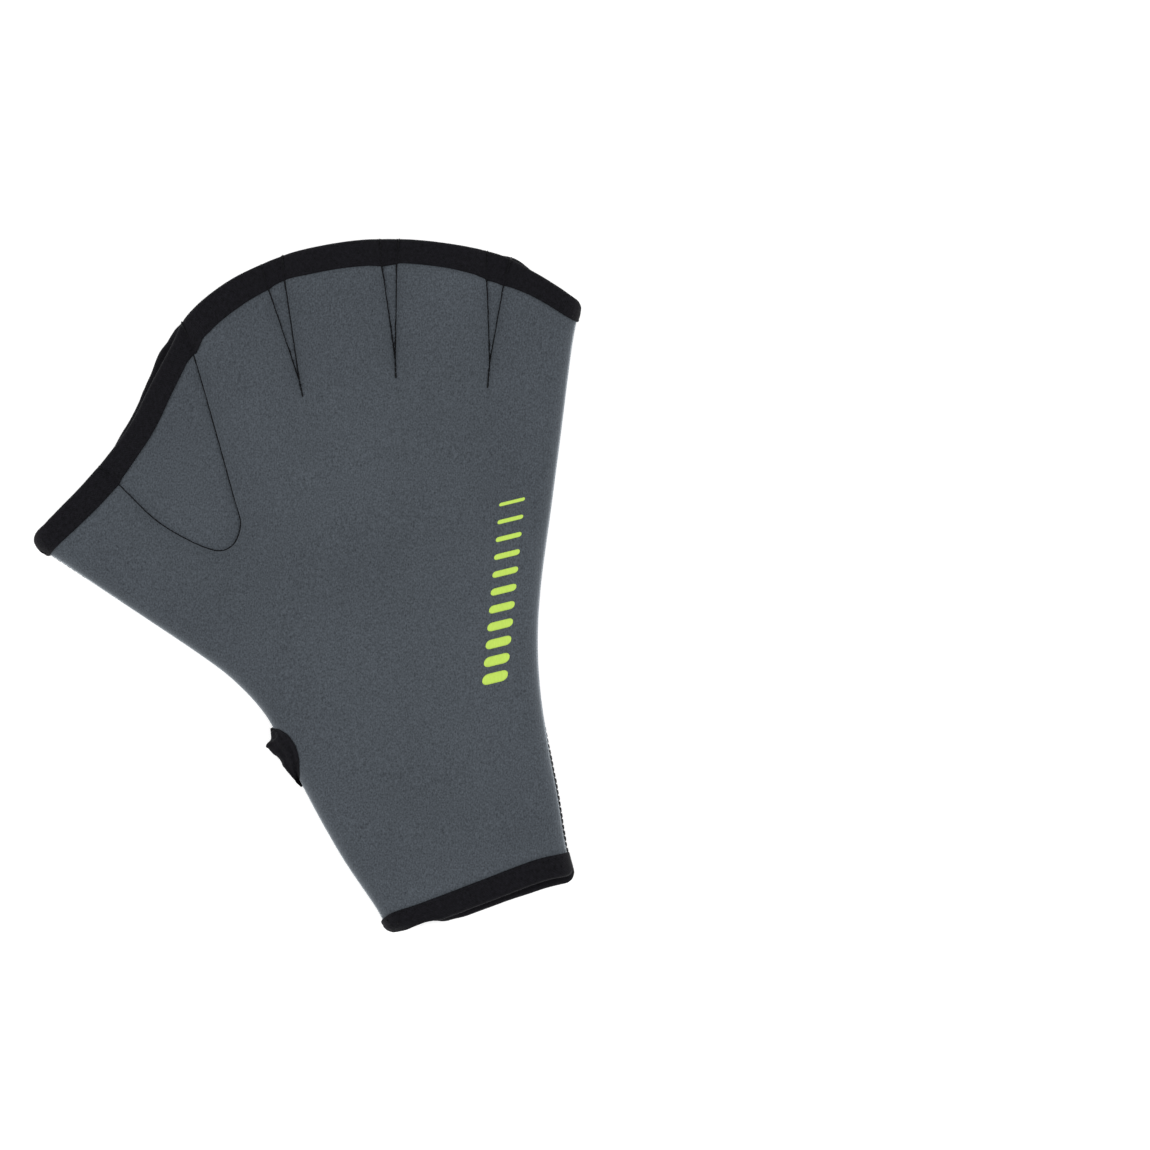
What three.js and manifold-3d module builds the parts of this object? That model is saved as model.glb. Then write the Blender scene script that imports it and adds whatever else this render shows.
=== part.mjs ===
// Webbed swim glove for the right hand, lying palm down: fingers toward +Y, thumb toward -X, +Z up.
// A dorsal and a palm panel of neoprene meet along both sides. Tape binds the finger opening, the wrist
// opening and a small vent, and web seams between the fingers pinch the two panels together.
import * as THREE from "three";
import Module from "manifold-3d";

// Driving sizes in millimetres
const size = {
  length: 249.5,
  width: 197.3,
  wall: 2,
  palmSpace: 9,
  fingerSpace: 7.6,
  tapeThickness: 0.6,
  fingerTapeWidth: 8.2,
  wristTapeWidth: 8.2,
  tapePress: 0.4,
  sideRound: 6,
  seamRise: 14,
  seamThickness: 0.6,
  seamAboveFold: 0.9,
  seamBelowFold: 2.3,
  thumbWebOverhang: 2,
  ringWebOverhang: 1,
  wristOverhang: 2.8,
  ventLength: 23.8,
  ventInward: 4.4,
  ventOutward: 4,
  ventSlotHeight: 4.6,
  clearance: 0.3,
  foldGap: 0.15,
};

// Mesh spacing in millimetres
const mesh = { station: 7, seam: 5.5, interior: 8.6 };

const tapeBuild = size.clearance + size.tapeThickness;
const seamBuild = size.clearance + size.seamThickness;
const palmShare = 0.35;
const palmHalfSpace = palmShare * size.palmSpace;
const tapeLift = tapeBuild - size.tapePress;
const foldHeight = size.wall + size.foldGap + palmHalfSpace;

// Outlines seen from above: across is a share of the width from the thumb tip, along a share of the length
// from the wrist. Each runs clockwise.
const fingerEdge = [
  { across: 0, along: 0.574 }, { across: 0.053, along: 0.614 }, { across: 0.102, along: 0.655 },
  { across: 0.172, along: 0.726 }, { across: 0.214, along: 0.79 }, { across: 0.252, along: 0.848 },
  { across: 0.272, along: 0.882 }, { across: 0.319, along: 0.918 }, { across: 0.387, along: 0.952 },
  { across: 0.487, along: 0.983 }, { across: 0.648, along: 1 }, { across: 0.827, along: 0.983 },
  { across: 0.914, along: 0.952 }, { across: 1, along: 0.909 },
];
const littleFingerSide = [
  { across: 1, along: 0.906 }, { across: 0.985, along: 0.848 }, { across: 0.965, along: 0.724 },
  { across: 0.947, along: 0.615 }, { across: 0.928, along: 0.502 }, { across: 0.922, along: 0.421 },
  { across: 0.927, along: 0.346 }, { across: 0.942, along: 0.266 }, { across: 0.958, along: 0.199 },
  { across: 0.974, along: 0.121 }, { across: 0.987, along: 0.082 },
];
const wristEdge = [
  { across: 0.987, along: 0.082 }, { across: 0.932, along: 0.074 }, { across: 0.834, along: 0.045 },
  { across: 0.73, along: 0.014 }, { across: 0.666, along: 0 },
];
const thumbSide = [
  { across: 0.666, along: 0 }, { across: 0.646, along: 0.004 }, { across: 0.624, along: 0.034 },
  { across: 0.569, along: 0.098 }, { across: 0.526, along: 0.156 }, { across: 0.491, along: 0.208 },
  { across: 0.462, along: 0.251 }, { across: 0.425, along: 0.309 }, { across: 0.37, along: 0.358 },
  { across: 0.305, along: 0.398 }, { across: 0.173, along: 0.468 }, { across: 0.042, along: 0.537 },
  { across: 0.007, along: 0.556 }, { across: 0, along: 0.574 },
];

// Web seams between fingers: start and end are shares of the finger edge's length, and the point is where
// the two meet
const fingerWebs = [
  { start: 0.515, end: 0.548, across: 0.487, along: 0.792 },
  { start: 0.689, end: 0.7165, across: 0.661, along: 0.822 },
  { start: 0.844, end: 0.879, across: 0.833, along: 0.82 },
];

// The seam round the big web between thumb and index finger, from its index end to its thumb end
const thumbWeb = { start: 0.136, end: 0.3735 };
const thumbWebSeam = [
  { across: 0.291, along: 0.838 }, { across: 0.316, along: 0.771 }, { across: 0.341, along: 0.701 },
  { across: 0.368, along: 0.623 }, { across: 0.379, along: 0.588 }, { across: 0.363, along: 0.557 },
  { across: 0.323, along: 0.552 }, { across: 0.232, along: 0.589 }, { across: 0.156, along: 0.646 },
];

// Where the palm panel reaches past the dorsal one: at is a share of the edge's length, reach of the overhang
const thumbWebOverhang = [
  { at: 0.15, reach: 0 }, { at: 0.2, reach: 1 }, { at: 0.33, reach: 1 }, { at: 0.39, reach: 0 },
];
const ringWebOverhang = [
  { at: 0.87, reach: 0 }, { at: 0.9, reach: 1 }, { at: 0.93, reach: 0 },
];
const wristOverhang = [
  { at: 0.03, reach: 0 }, { at: 0.14, reach: 1 }, { at: 0.4, reach: 0.9 }, { at: 0.76, reach: 0 },
];

// Vent sections: at is a share of its length toward the fingers, outward and inward shares of its two depths
const ventCentre = 0.379;
const ventSections = [
  { at: -0.5, outward: 0.12, inward: 0.02 }, { at: -0.33, outward: 0.35, inward: 0.4 },
  { at: -0.15, outward: 0.6, inward: 0.78 }, { at: 0.05, outward: 0.8, inward: 1 },
  { at: 0.26, outward: 1, inward: 0.95 }, { at: 0.38, outward: 0.36, inward: 0.7 },
  { at: 0.5, outward: 0.08, inward: 0.1 },
];

const clamp01 = (value) => Math.min(1, Math.max(0, value));
const smooth = (value) => clamp01(value) ** 2 * (3 - 2 * clamp01(value));
const roundRise = (value) => Math.sqrt(1 - (1 - clamp01(value)) ** 2);
const rightOf = (direction) => new THREE.Vector2(direction.y, -direction.x);
const placed = (row) => new THREE.Vector2((row.across - 0.5) * size.width, (row.along - 0.5) * size.length);

// A polyline that knows its length, its points by distance, and the nearest place on it
class Route {
  constructor(points) {
    this.points = points;
    this.reach = [0];
    for (let i = 1; i < points.length; i += 1) {
      this.reach.push(this.reach[i - 1] + points[i].distanceTo(points[i - 1]));
    }
    this.length = this.reach[points.length - 1];
  }

  static through(rows, spacing = 1.5) {
    const curve = new THREE.SplineCurve(rows.map(placed));
    curve.arcLengthDivisions = 600;
    return new Route(curve.getSpacedPoints(Math.ceil(curve.getLength() / spacing)));
  }

  segmentAt(distance) {
    let index = 0;
    while (index < this.points.length - 2 && this.reach[index + 1] < distance) index += 1;
    return index;
  }

  at(distance) {
    const index = this.segmentAt(distance);
    const share = (distance - this.reach[index]) / (this.reach[index + 1] - this.reach[index]);
    return this.points[index].clone().lerp(this.points[index + 1], share);
  }

  direction(distance) {
    const step = 1;
    const behind = this.at(Math.max(0, distance - step));
    return this.at(Math.min(this.length, distance + step)).sub(behind).normalize();
  }

  nearest(point) {
    let best = { distance: Infinity, along: 0 };
    for (let i = 0; i < this.points.length - 1; i += 1) {
      const edge = this.points[i + 1].clone().sub(this.points[i]);
      const offset = point.clone().sub(this.points[i]);
      const share = clamp01(offset.dot(edge) / edge.lengthSq());
      const distance = offset.addScaledVector(edge, -share).length();
      if (distance < best.distance) best = { distance, along: this.reach[i] + share * edge.length() };
    }
    return best;
  }

  // Moved to its right by a distance that may vary along it, with straight ends added for crossings
  offset(amount, extra = 6) {
    const moved = this.points.map((point, i) => {
      const side = rightOf(this.direction(this.reach[i]));
      return point.clone().addScaledVector(side, amount(this.reach[i] / this.length));
    });
    const last = moved.length - 1;
    const before = moved[0].clone().addScaledVector(moved[1].clone().sub(moved[0]).normalize(), -extra);
    const after = moved[last].clone().sub(moved[last - 1]).normalize().multiplyScalar(extra).add(moved[last]);
    return new Route([before, ...moved, after]);
  }

  crossings(other) {
    const found = [];
    for (let i = 0; i < this.points.length - 1; i += 1) {
      const a = this.points[i];
      const r = this.points[i + 1].clone().sub(a);
      for (let j = 0; j < other.points.length - 1; j += 1) {
        const c = other.points[j];
        const s = other.points[j + 1].clone().sub(c);
        const turn = r.cross(s);
        if (Math.abs(turn) < 1e-9) continue;
        const toStart = c.clone().sub(a);
        const here = toStart.cross(s) / turn;
        const there = toStart.cross(r) / turn;
        if (here >= 0 && here < 1 && there >= 0 && there < 1) {
          found.push({ here: this.reach[i] + here * r.length(), there: other.reach[j] + there * s.length() });
        }
      }
    }
    return found;
  }

  between(from, to) {
    const inside = this.points.filter((_, i) => this.reach[i] > from + 0.05 && this.reach[i] < to - 0.05);
    return new Route([this.at(from), ...inside, this.at(to)]);
  }
}

const tableValue = (table, at) => {
  const next = table.findIndex((row) => row.at >= at);
  if (next <= 0) return 0;
  const low = table[next - 1];
  const share = smooth((at - low.at) / (table[next].at - low.at));
  return THREE.MathUtils.lerp(low.reach, table[next].reach, share);
};

// Outer routes as seen, and the routes that a panel's cut edges follow inside tape and seams
const outerFinger = Route.through(fingerEdge);
const outerLittle = Route.through(littleFingerSide);
const outerWrist = Route.through(wristEdge);
const outerThumb = Route.through(thumbSide);
const webPoint = (share) => outerFinger.at(share * outerFinger.length);
const webSeams = fingerWebs.flatMap((web) => [web.start, web.end].map((share) => ({
  share, route: new Route([webPoint(share), placed(web)]),
})));
const thumbWebRoute = new Route(new THREE.SplineCurve([
  webPoint(thumbWeb.end), ...thumbWebSeam.map(placed), webPoint(thumbWeb.start),
]).getSpacedPoints(90));
const seamRoutes = [...webSeams.map((seam) => seam.route), thumbWebRoute];

const little = outerLittle.offset(() => seamBuild);
const thumb = outerThumb.offset(() => seamBuild);
const ventOrigin = outerThumb.at(ventCentre * outerThumb.length);
const ventAlong = outerThumb.direction(ventCentre * outerThumb.length);
const ventPoint = (row, reach) => ventOrigin.clone()
  .addScaledVector(ventAlong, row.at * size.ventLength)
  .addScaledVector(rightOf(ventAlong), reach);
const ventInner = ventSections.map((row) => ventPoint(row, row.inward * size.ventInward));
const ventOuter = ventSections.map((row) => ventPoint(row, -row.outward * size.ventOutward));

const contains = (polygon, point) => polygon.reduce((inside, a, i) => {
  const b = polygon[(i + 1) % polygon.length];
  const crosses = (a.y > point.y) !== (b.y > point.y)
    && point.x < a.x + ((b.x - a.x) * (point.y - a.y)) / (b.y - a.y);
  return crosses ? !inside : inside;
}, false);

const webTriangles = fingerWebs.map((web) => [webPoint(web.start), webPoint(web.end), placed(web)]);
const thumbWebArea = [
  ...thumbWebRoute.points,
  ...outerFinger.between(thumbWeb.start * outerFinger.length, thumbWeb.end * outerFinger.length).points,
];

// A panel's cut edge round one opening, with a row under the tape and a free row just past it
function openingRows(outer, reachOf, tapeWidth, before, after, keys) {
  const lead = 6;
  const edge = outer.offset((share) => tapeBuild - reachOf(share), lead);
  const start = edge.crossings(before)[0];
  const end = edge.crossings(after)[0];
  const cut = edge.between(start.here, end.here);
  const onCut = (share) => share * outer.length + lead - start.here;
  const steps = [0, 0.7, 2.2, size.sideRound];
  const wanted = [
    ...steps, ...steps.map((step) => cut.length - step),
    ...keys.flatMap((key) => [-3, 0, 3].map((step) => onCut(key.share) + step)),
  ];
  const fixed = wanted.sort((a, b) => a - b).filter((value, i, list) => i === 0 || value - list[i - 1] > 0.5);
  const distances = fixed.flatMap((value, i) => {
    const from = fixed[i - 1];
    const count = Math.max(1, Math.round((value - from) / mesh.station));
    return i ? Array.from({ length: count }, (_, k) => from + ((value - from) * (k + 1)) / count) : [value];
  });

  // Rows run square to the edge, turned to follow each web seam that crosses the tape
  const marks = [{ d: 0, lean: 0 }, ...keys.map((key) => {
    const d = onCut(key.share);
    const inside = key.route.at(key.reversed ? key.route.length - tapeWidth : tapeWidth);
    const turn = inside.sub(cut.at(d)).angle() - rightOf(cut.direction(d)).angle();
    return { d, lean: Math.atan2(Math.sin(turn), Math.cos(turn)) };
  }), { d: cut.length, lean: 0 }];
  const square = (distance, reach) => {
    const next = Math.max(1, marks.findIndex((mark) => mark.d >= distance - 1e-6));
    const share = (distance - marks[next - 1].d) / (marks[next].d - marks[next - 1].d);
    const lean = THREE.MathUtils.lerp(marks[next - 1].lean, marks[next].lean, share);
    return rightOf(cut.direction(distance)).rotateAround(new THREE.Vector2(), lean)
      .multiplyScalar(reach / Math.cos(lean)).add(cut.at(distance));
  };

  // Close to a corner they keep their distance from the side instead
  const besideSide = (distance, reach) => {
    const first = distance < cut.length / 2;
    const route = first ? before : after;
    const stepped = (step) => {
      const along = first ? start.there - step : end.there + step;
      const inward = rightOf(route.direction(along));
      return route.at(along).addScaledVector(inward, first ? distance : cut.length - distance);
    };
    let near = 0;
    let far = 3 * reach;
    while (far - near > 0.01) {
      const middle = (near + far) / 2;
      if (cut.nearest(stepped(middle)).distance < reach) near = middle;
      else far = middle;
    }
    return stepped(far);
  };
  return distances.map((distance) => {
    const fromCorner = Math.min(distance, cut.length - distance);
    const weight = smooth(1 - (fromCorner - size.sideRound) / 12);
    const inward = (reach) => square(distance, reach).lerp(besideSide(distance, reach), weight);
    const width = tapeWidth - tapeBuild;
    return { point: cut.at(distance), under: inward(width), free: inward(width + 1.8) };
  });
}

// Everything about one panel that follows from which side it is on
function layOut(side) {
  const palm = side < 0;
  const fingerReach = (share) => (palm ? size.thumbWebOverhang * tableValue(thumbWebOverhang, share)
    + size.ringWebOverhang * tableValue(ringWebOverhang, share) : 0);
  const wristReach = (share) => (palm ? size.wristOverhang * tableValue(wristOverhang, share) : 0);
  const webKeys = [
    { share: thumbWeb.start, route: thumbWebRoute, reversed: true },
    { share: thumbWeb.end, route: thumbWebRoute },
    ...webSeams,
  ];
  const finger = openingRows(outerFinger, fingerReach, size.fingerTapeWidth, thumb, little, webKeys);
  const wrist = openingRows(outerWrist, wristReach, size.wristTapeWidth, little, thumb, []);
  return { side, finger, wrist };
}

const fingerCut = outerFinger.offset(() => 0, 0.01);
const wristCut = outerWrist.offset(() => 0, 0.01);
const palmCentre = placed({ across: 0.706, along: 0.421 });
const palmRadius = 115;

// How far the panels part inside a web, as a share of the full space
const fingerWebFill = 0.25;
const thumbWebFill = 0.3;

// Heights above the fold of the panel's inside and outside faces at a point seen from above
function heights(point, side) {
  const toSide = Math.min(little.nearest(point).distance, thumb.nearest(point).distance);
  const toFinger = fingerCut.nearest(point).distance;
  const toWrist = wristCut.nearest(point).distance;
  const toSeam = Math.min(...seamRoutes.map((route) => route.nearest(point).distance));
  const past = Math.min(toFinger - size.fingerTapeWidth, toWrist - size.wristTapeWidth);
  const underTape = 1 - smooth((past - 0.3) / 1.4);
  const nearTape = 1 - smooth((past - 0.5) / 6);
  const inWeb = webTriangles.some((triangle) => contains(triangle, point));
  const webShare = inWeb ? fingerWebFill : 1;
  const share = contains(thumbWebArea, point) ? thumbWebFill : webShare;
  const rise = share * roundRise(toSeam / size.seamRise);
  const fullness = smooth(1.4 * (1 - point.distanceTo(palmCentre) / palmRadius));
  const space = THREE.MathUtils.lerp(size.fingerSpace, size.palmSpace, fullness);
  const halfSpace = side < 0 ? palmHalfSpace : space - palmHalfSpace;
  const least = size.foldGap + tapeBuild * nearTape;
  const sideRise = roundRise(toSide / size.sideRound);
  const inside = least + (halfSpace - tapeBuild * nearTape) * rise * sideRise;
  const wall = size.wall - size.tapePress * underTape;
  const fullOutside = least - size.foldGap + (halfSpace - tapeBuild * nearTape) * rise + wall;
  return { inside, outside: size.foldGap + fullOutside * sideRise, middle: foldHeight + tapeLift * nearTape };
}

// The panel's two faces over one point, with the directions that point away from the cloth
function faces(point, side) {
  const routes = [little, thumb].map((route) => ({ route, ...route.nearest(point) }));
  const near = routes[0].distance < routes[1].distance ? routes[0] : routes[1];
  const inward = rightOf(near.route.direction(near.along));
  const share = clamp01(near.distance / size.sideRound);
  const level = heights(point, side);
  const insidePoint = point.clone().addScaledVector(inward, size.wall * (1 - share));
  const turn = Math.acos(1 - share);
  const lean = Math.cos(turn);
  const lift = Math.sin(turn);
  return {
    outside: new THREE.Vector3(point.x, point.y, level.middle + side * level.outside),
    inside: new THREE.Vector3(insidePoint.x, insidePoint.y, level.middle + side * level.inside),
    outward: new THREE.Vector3(-inward.x * lean, -inward.y * lean, side * lift).normalize(),
  };
}

// Delaunay triangles over points, by adding them one at a time
function triangulate(points) {
  const far = 4 * (size.length + size.width);
  const frameCorners = [[-far, -far], [far, -far], [0, far]].map(([x, y]) => new THREE.Vector2(x, y));
  const all = [...points, ...frameCorners];
  const circle = (corners) => {
    const [a, b, c] = corners.map((index) => all[index]);
    const ab = b.clone().sub(a);
    const ac = c.clone().sub(a);
    const twice = 2 * ab.cross(ac);
    const centre = new THREE.Vector2(
      (ac.y * ab.lengthSq() - ab.y * ac.lengthSq()) / twice,
      (ab.x * ac.lengthSq() - ac.x * ab.lengthSq()) / twice,
    );
    return { corners, x: a.x + centre.x, y: a.y + centre.y, reach: centre.lengthSq() * (1 - 1e-9) };
  };
  let triangles = [circle([points.length, points.length + 1, points.length + 2])];
  points.forEach((point, index) => {
    const hit = triangles.filter((t) => (point.x - t.x) ** 2 + (point.y - t.y) ** 2 < t.reach);
    const open = new Map();
    hit.forEach(({ corners }) => corners.forEach((from, i) => {
      const to = corners[(i + 1) % 3];
      if (!open.delete(`${to},${from}`)) open.set(`${from},${to}`, [from, to]);
    }));
    const gone = new Set(hit);
    triangles = triangles.filter((t) => !gone.has(t));
    open.forEach(([from, to]) => triangles.push(circle([from, to, index])));
  });
  return triangles.map((t) => t.corners).filter((corners) => Math.max(...corners) < points.length);
}

// A closed mesh from flat lists, turned so that its faces look out
function closedMesh(name, vertices, triangles, material) {
  const volume = triangles.reduce((sum, [a, b, c]) => (
    sum + vertices[a].dot(vertices[b].clone().cross(vertices[c]))
  ), 0);
  const ordered = volume < 0 ? triangles.map(([a, b, c]) => [a, c, b]) : triangles;
  const geometry = new THREE.BufferGeometry();
  const numbers = vertices.flatMap((vertex) => vertex.toArray());
  geometry.setAttribute("position", new THREE.Float32BufferAttribute(numbers, 3));
  geometry.setIndex(ordered.flat());
  geometry.computeVertexNormals();
  const result = new THREE.Mesh(geometry, material);
  result.name = name;
  return result;
}

// Bands between successive sections, closed on itself or capped at both ends. Bands that lie against a panel
// are split across their other diagonal, as the panel is.
function sweep(sections, loop, turned = []) {
  const count = sections[0].length;
  const triangles = [];
  const last = loop ? sections.length : sections.length - 1;
  for (let i = 0; i < last; i += 1) {
    const here = i * count;
    const next = ((i + 1) % sections.length) * count;
    for (let k = 0; k < count; k += 1) {
      const step = (k + 1) % count;
      if (turned.includes(k)) {
        triangles.push([here + k, here + step, next + k], [here + step, next + step, next + k]);
      } else {
        triangles.push([here + k, here + step, next + step], [here + k, next + step, next + k]);
      }
    }
  }
  if (!loop) {
    const end = (sections.length - 1) * count;
    for (let k = 1; k < count - 1; k += 1) triangles.push([0, k + 1, k], [end, end + k, end + k + 1]);
  }
  return { vertices: sections.flat(), triangles };
}

const stationsBetween = (from, to, spacing) => {
  const count = Math.max(1, Math.round((to - from) / spacing));
  return Array.from({ length: count + 1 }, (_, i) => from + ((to - from) * i) / count);
};

// A panel's boundary, clockwise, in parts that also serve the tape and the seams
function boundaryOf(layout) {
  const { finger, wrist } = layout;
  const place = (route, point) => route.nearest(point).along;
  const lastFinger = finger[finger.length - 1];
  const lastWrist = wrist[wrist.length - 1];
  const notch = new Route(ventInner).offset(() => size.clearance, 3);
  const cuts = notch.crossings(thumb);
  const low = cuts[0];
  const high = cuts[cuts.length - 1];
  const run = (route, from, to) => (
    stationsBetween(from, to, mesh.station).map((distance) => route.at(distance))
  );
  const littleRun = run(little, place(little, lastFinger.free), place(little, wrist[0].free));
  const thumbLow = run(thumb, place(thumb, lastWrist.free), low.there);
  const thumbHigh = run(thumb, high.there, place(thumb, finger[0].free));
  const notchRoute = notch.between(low.here, high.here);
  const notchRun = notchRoute.points.slice(1, -1);
  return {
    littleRun, thumbLow, thumbHigh, notchRun,
    loop: [
      ...finger.map((row) => row.under), ...littleRun,
      ...wrist.map((row) => row.under), ...thumbLow, ...notchRun, ...thumbHigh,
    ],
  };
}

function panel(name, layout, boundary, material) {
  const { side, finger, wrist } = layout;
  const points = [...boundary.loop];
  const add = (point, gap) => {
    if (points.every((other) => other.distanceTo(point) >= gap)) points.push(point);
  };
  [...finger.slice(1, -1), ...wrist.slice(1, -1)].forEach((row) => add(row.free, 0.3));
  const covered = (point) => fingerCut.nearest(point).distance < size.fingerTapeWidth + 3
    || wristCut.nearest(point).distance < size.wristTapeWidth + 3;
  seamRoutes.forEach((route) => stationsBetween(0, route.length, mesh.seam).map((d) => route.at(d))
    .filter((point) => !covered(point)).forEach((point) => add(point, 1.5)));
  [size.sideRound * 0.2, size.sideRound * 0.55, size.sideRound].forEach((depth, row) => {
    [[little, boundary.littleRun], [thumb, boundary.thumbLow], [thumb, boundary.thumbHigh]]
      .forEach(([route, run]) => run.forEach((point) => {
        const inward = rightOf(route.direction(route.nearest(point).along));
        const placedPoint = point.clone().addScaledVector(inward, depth);
        if (contains(boundary.loop, placedPoint)) add(placedPoint, row ? 1.8 : 1);
      }));
  });
  const step = mesh.interior;
  for (let y = -size.length / 2, odd = 0; y < size.length / 2; y += step * Math.sqrt(0.75), odd = 1 - odd) {
    for (let x = -size.width / 2 + (odd * step) / 2; x < size.width / 2; x += step) {
      const point = new THREE.Vector2(x, y);
      if (contains(boundary.loop, point)) add(point, step * 0.56);
    }
  }
  const triangles = triangulate(points).filter((corners) => contains(
    boundary.loop,
    corners.reduce((sum, i) => sum.add(points[i]), new THREE.Vector2()).divideScalar(3),
  ));
  [finger, wrist].forEach((rows) => rows.forEach((row, i) => {
    const edge = points.push(row.point) - 1;
    if (i === 0) return;
    const under = points.indexOf(row.under);
    const before = points.indexOf(rows[i - 1].under);
    triangles.push([edge, edge - 1, side > 0 ? before : under]);
    triangles.push([side > 0 ? edge : edge - 1, before, under]);
  }));
  const both = points.map((point) => faces(point, side));
  const count = points.length;
  const used = new Map();
  triangles.forEach((corners) => corners.forEach((from, i) => {
    const to = corners[(i + 1) % 3];
    if (!used.delete(`${to},${from}`)) used.set(`${from},${to}`, [from, to]);
  }));
  const all = [
    ...triangles,
    ...triangles.map(([a, b, c]) => [a + count, c + count, b + count]),
    ...[...used.values()].flatMap(([a, b]) => (side > 0
      ? [[b, a, a + count], [b, a + count, b + count]]
      : [[b, a, b + count], [a, a + count, b + count]])),
  ];
  return closedMesh(name, [...both.map((f) => f.outside), ...both.map((f) => f.inside)], all, material);
}

// Tape folded over the cut edge of both panels, all the way round one opening
function binding(name, dorsalRows, palmRows, material) {
  const section = (row, side) => {
    const edge = faces(row.point, side);
    const under = faces(row.under, side);
    const inward = under.outside.clone().sub(edge.outside).setZ(0).normalize();
    const lifted = (face, key, amount) => face[key].clone()
      .addScaledVector(face.outward, key === "outside" ? amount : -amount);
    const past = (point, amount) => point.clone().addScaledVector(inward, -amount);
    const gap = size.clearance;
    return [
      lifted(under, "outside", tapeBuild), lifted(edge, "outside", tapeBuild),
      past(edge.outside, tapeBuild), past(edge.inside, tapeBuild),
      lifted(edge, "inside", tapeBuild), lifted(under, "inside", tapeBuild),
      lifted(under, "inside", gap), past(lifted(edge, "inside", gap), gap),
      past(lifted(edge, "outside", gap), gap), lifted(under, "outside", gap),
    ];
  };
  const sections = [
    ...dorsalRows.map((row) => section(row, 1)),
    ...[...palmRows].reverse().map((row) => section(row, -1)),
  ];
  const { vertices, triangles } = sweep(sections, true, [4, 7, 8]);
  return closedMesh(name, vertices, triangles, material);
}

// The thread band that covers the joint between the panels down one side
function sideSeam(name, route, stations, material) {
  const sections = stations.map((distance) => {
    const point = route.at(distance);
    const outward = rightOf(route.direction(distance)).negate();
    const corner = (reach, height) => new THREE.Vector3(
      point.x + outward.x * reach,
      point.y + outward.y * reach,
      foldHeight + height,
    );
    return [
      corner(size.clearance, size.seamAboveFold), corner(seamBuild, size.seamAboveFold * 0.6),
      corner(seamBuild, -size.seamBelowFold * 0.8), corner(size.clearance, -size.seamBelowFold),
    ];
  });
  const { vertices, triangles } = sweep(sections, false);
  return closedMesh(name, vertices, triangles, material);
}

const wasm = await Module();
wasm.setup();

function solidOf({ vertices, triangles }) {
  const made = closedMesh("", vertices, triangles, undefined).geometry;
  return new wasm.Manifold(new wasm.Mesh({
    numProp: 3,
    vertProperties: new Float32Array(made.attributes.position.array),
    triVerts: new Uint32Array(made.index.array),
  }));
}

// Two taped lips in the thumb-side seam, joined at both ends, with the slot between them cut through
function vent(name, material) {
  const corner = (point, height) => new THREE.Vector3(point.x, point.y, foldHeight + height);
  const lips = ventSections.map((row, i) => {
    const inner = ventInner[i];
    const above = heights(inner, 1);
    const below = heights(inner, -1);
    const rim = size.ventSlotHeight / 2 + 1.4;
    const full = roundRise(1.6 * (0.54 - Math.abs(row.at)));
    const upper = Math.max(1, above.outside);
    const lower = Math.max(1, below.outside);
    return [
      corner(inner, upper), corner(ventOuter[i], Math.max(0.8, rim * full)),
      corner(ventOuter[i], -Math.max(0.8, rim * full)), corner(inner, -lower),
    ];
  });
  const slot = ventSections.filter((row) => Math.abs(row.at) < 0.4).map((row) => {
    const far = ventPoint(row, size.ventInward + 3);
    const near = ventPoint(row, -size.ventOutward - 3);
    const inner = ventPoint(row, row.inward * size.ventInward);
    const outer = ventPoint(row, -row.outward * size.ventOutward);
    const half = size.ventSlotHeight / 2;
    const top = Math.max(half, heights(inner, 1).inside - size.clearance);
    const bottom = Math.max(half, heights(inner, -1).inside - size.clearance);
    return [
      corner(far, top), corner(inner, top), corner(outer, half), corner(near, half),
      corner(near, -half), corner(outer, -half), corner(inner, -bottom), corner(far, -bottom),
    ];
  });
  const cut = solidOf(sweep(lips, false)).subtract(solidOf(sweep(slot, false))).getMesh();
  const vertices = Array.from({ length: cut.vertProperties.length / cut.numProp }, (_, i) => (
    new THREE.Vector3().fromArray(cut.vertProperties, i * cut.numProp)
  ));
  const triangles = Array.from({ length: cut.triVerts.length / 3 }, (_, i) => (
    [...cut.triVerts.subarray(3 * i, 3 * i + 3)]
  ));
  return closedMesh(name, vertices, triangles, material);
}

const cloth = (color) => new THREE.MeshStandardMaterial({ color, roughness: 0.92, metalness: 0 });
const neoprene = cloth(0x4b5056);
const tape = cloth(0x1a1a1d);
const thread = cloth(0x202024);

const dorsal = layOut(1);
const palm = layOut(-1);
const dorsalBoundary = boundaryOf(dorsal);
const palmBoundary = boundaryOf(palm);
const seamOf = (name, route, run, trimStart, trimEnd) => {
  const reach = run.map((point) => route.nearest(point).along);
  reach[0] += trimStart;
  reach[reach.length - 1] -= trimEnd;
  return sideSeam(name, route, reach, thread);
};
const ventEnd = (index) => thumb.nearest(ventInner[index]).along;
const lowTrim = thumb.nearest(dorsalBoundary.thumbLow.at(-1)).along - ventEnd(0) + 0.6;
const highTrim = ventEnd(ventInner.length - 1) - thumb.nearest(dorsalBoundary.thumbHigh[0]).along + 0.6;

const group = new THREE.Group();
group.add(
  panel("dorsal_panel", dorsal, dorsalBoundary, neoprene),
  panel("palm_panel", palm, palmBoundary, neoprene),
  binding("finger_binding", dorsal.finger, palm.finger, tape),
  binding("wrist_binding", dorsal.wrist, palm.wrist, tape),
  vent("vent_binding", tape),
  seamOf("little_finger_seam", little, dorsalBoundary.littleRun, 0, 0),
  seamOf("thumb_seam_lower", thumb, dorsalBoundary.thumbLow, 0, lowTrim),
  seamOf("thumb_seam_upper", thumb, dorsalBoundary.thumbHigh, highTrim, 0),
);

export default group;
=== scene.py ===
"""The looks of a webbed swim glove: cloth, tape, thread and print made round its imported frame, and its stage."""

import math

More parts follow.
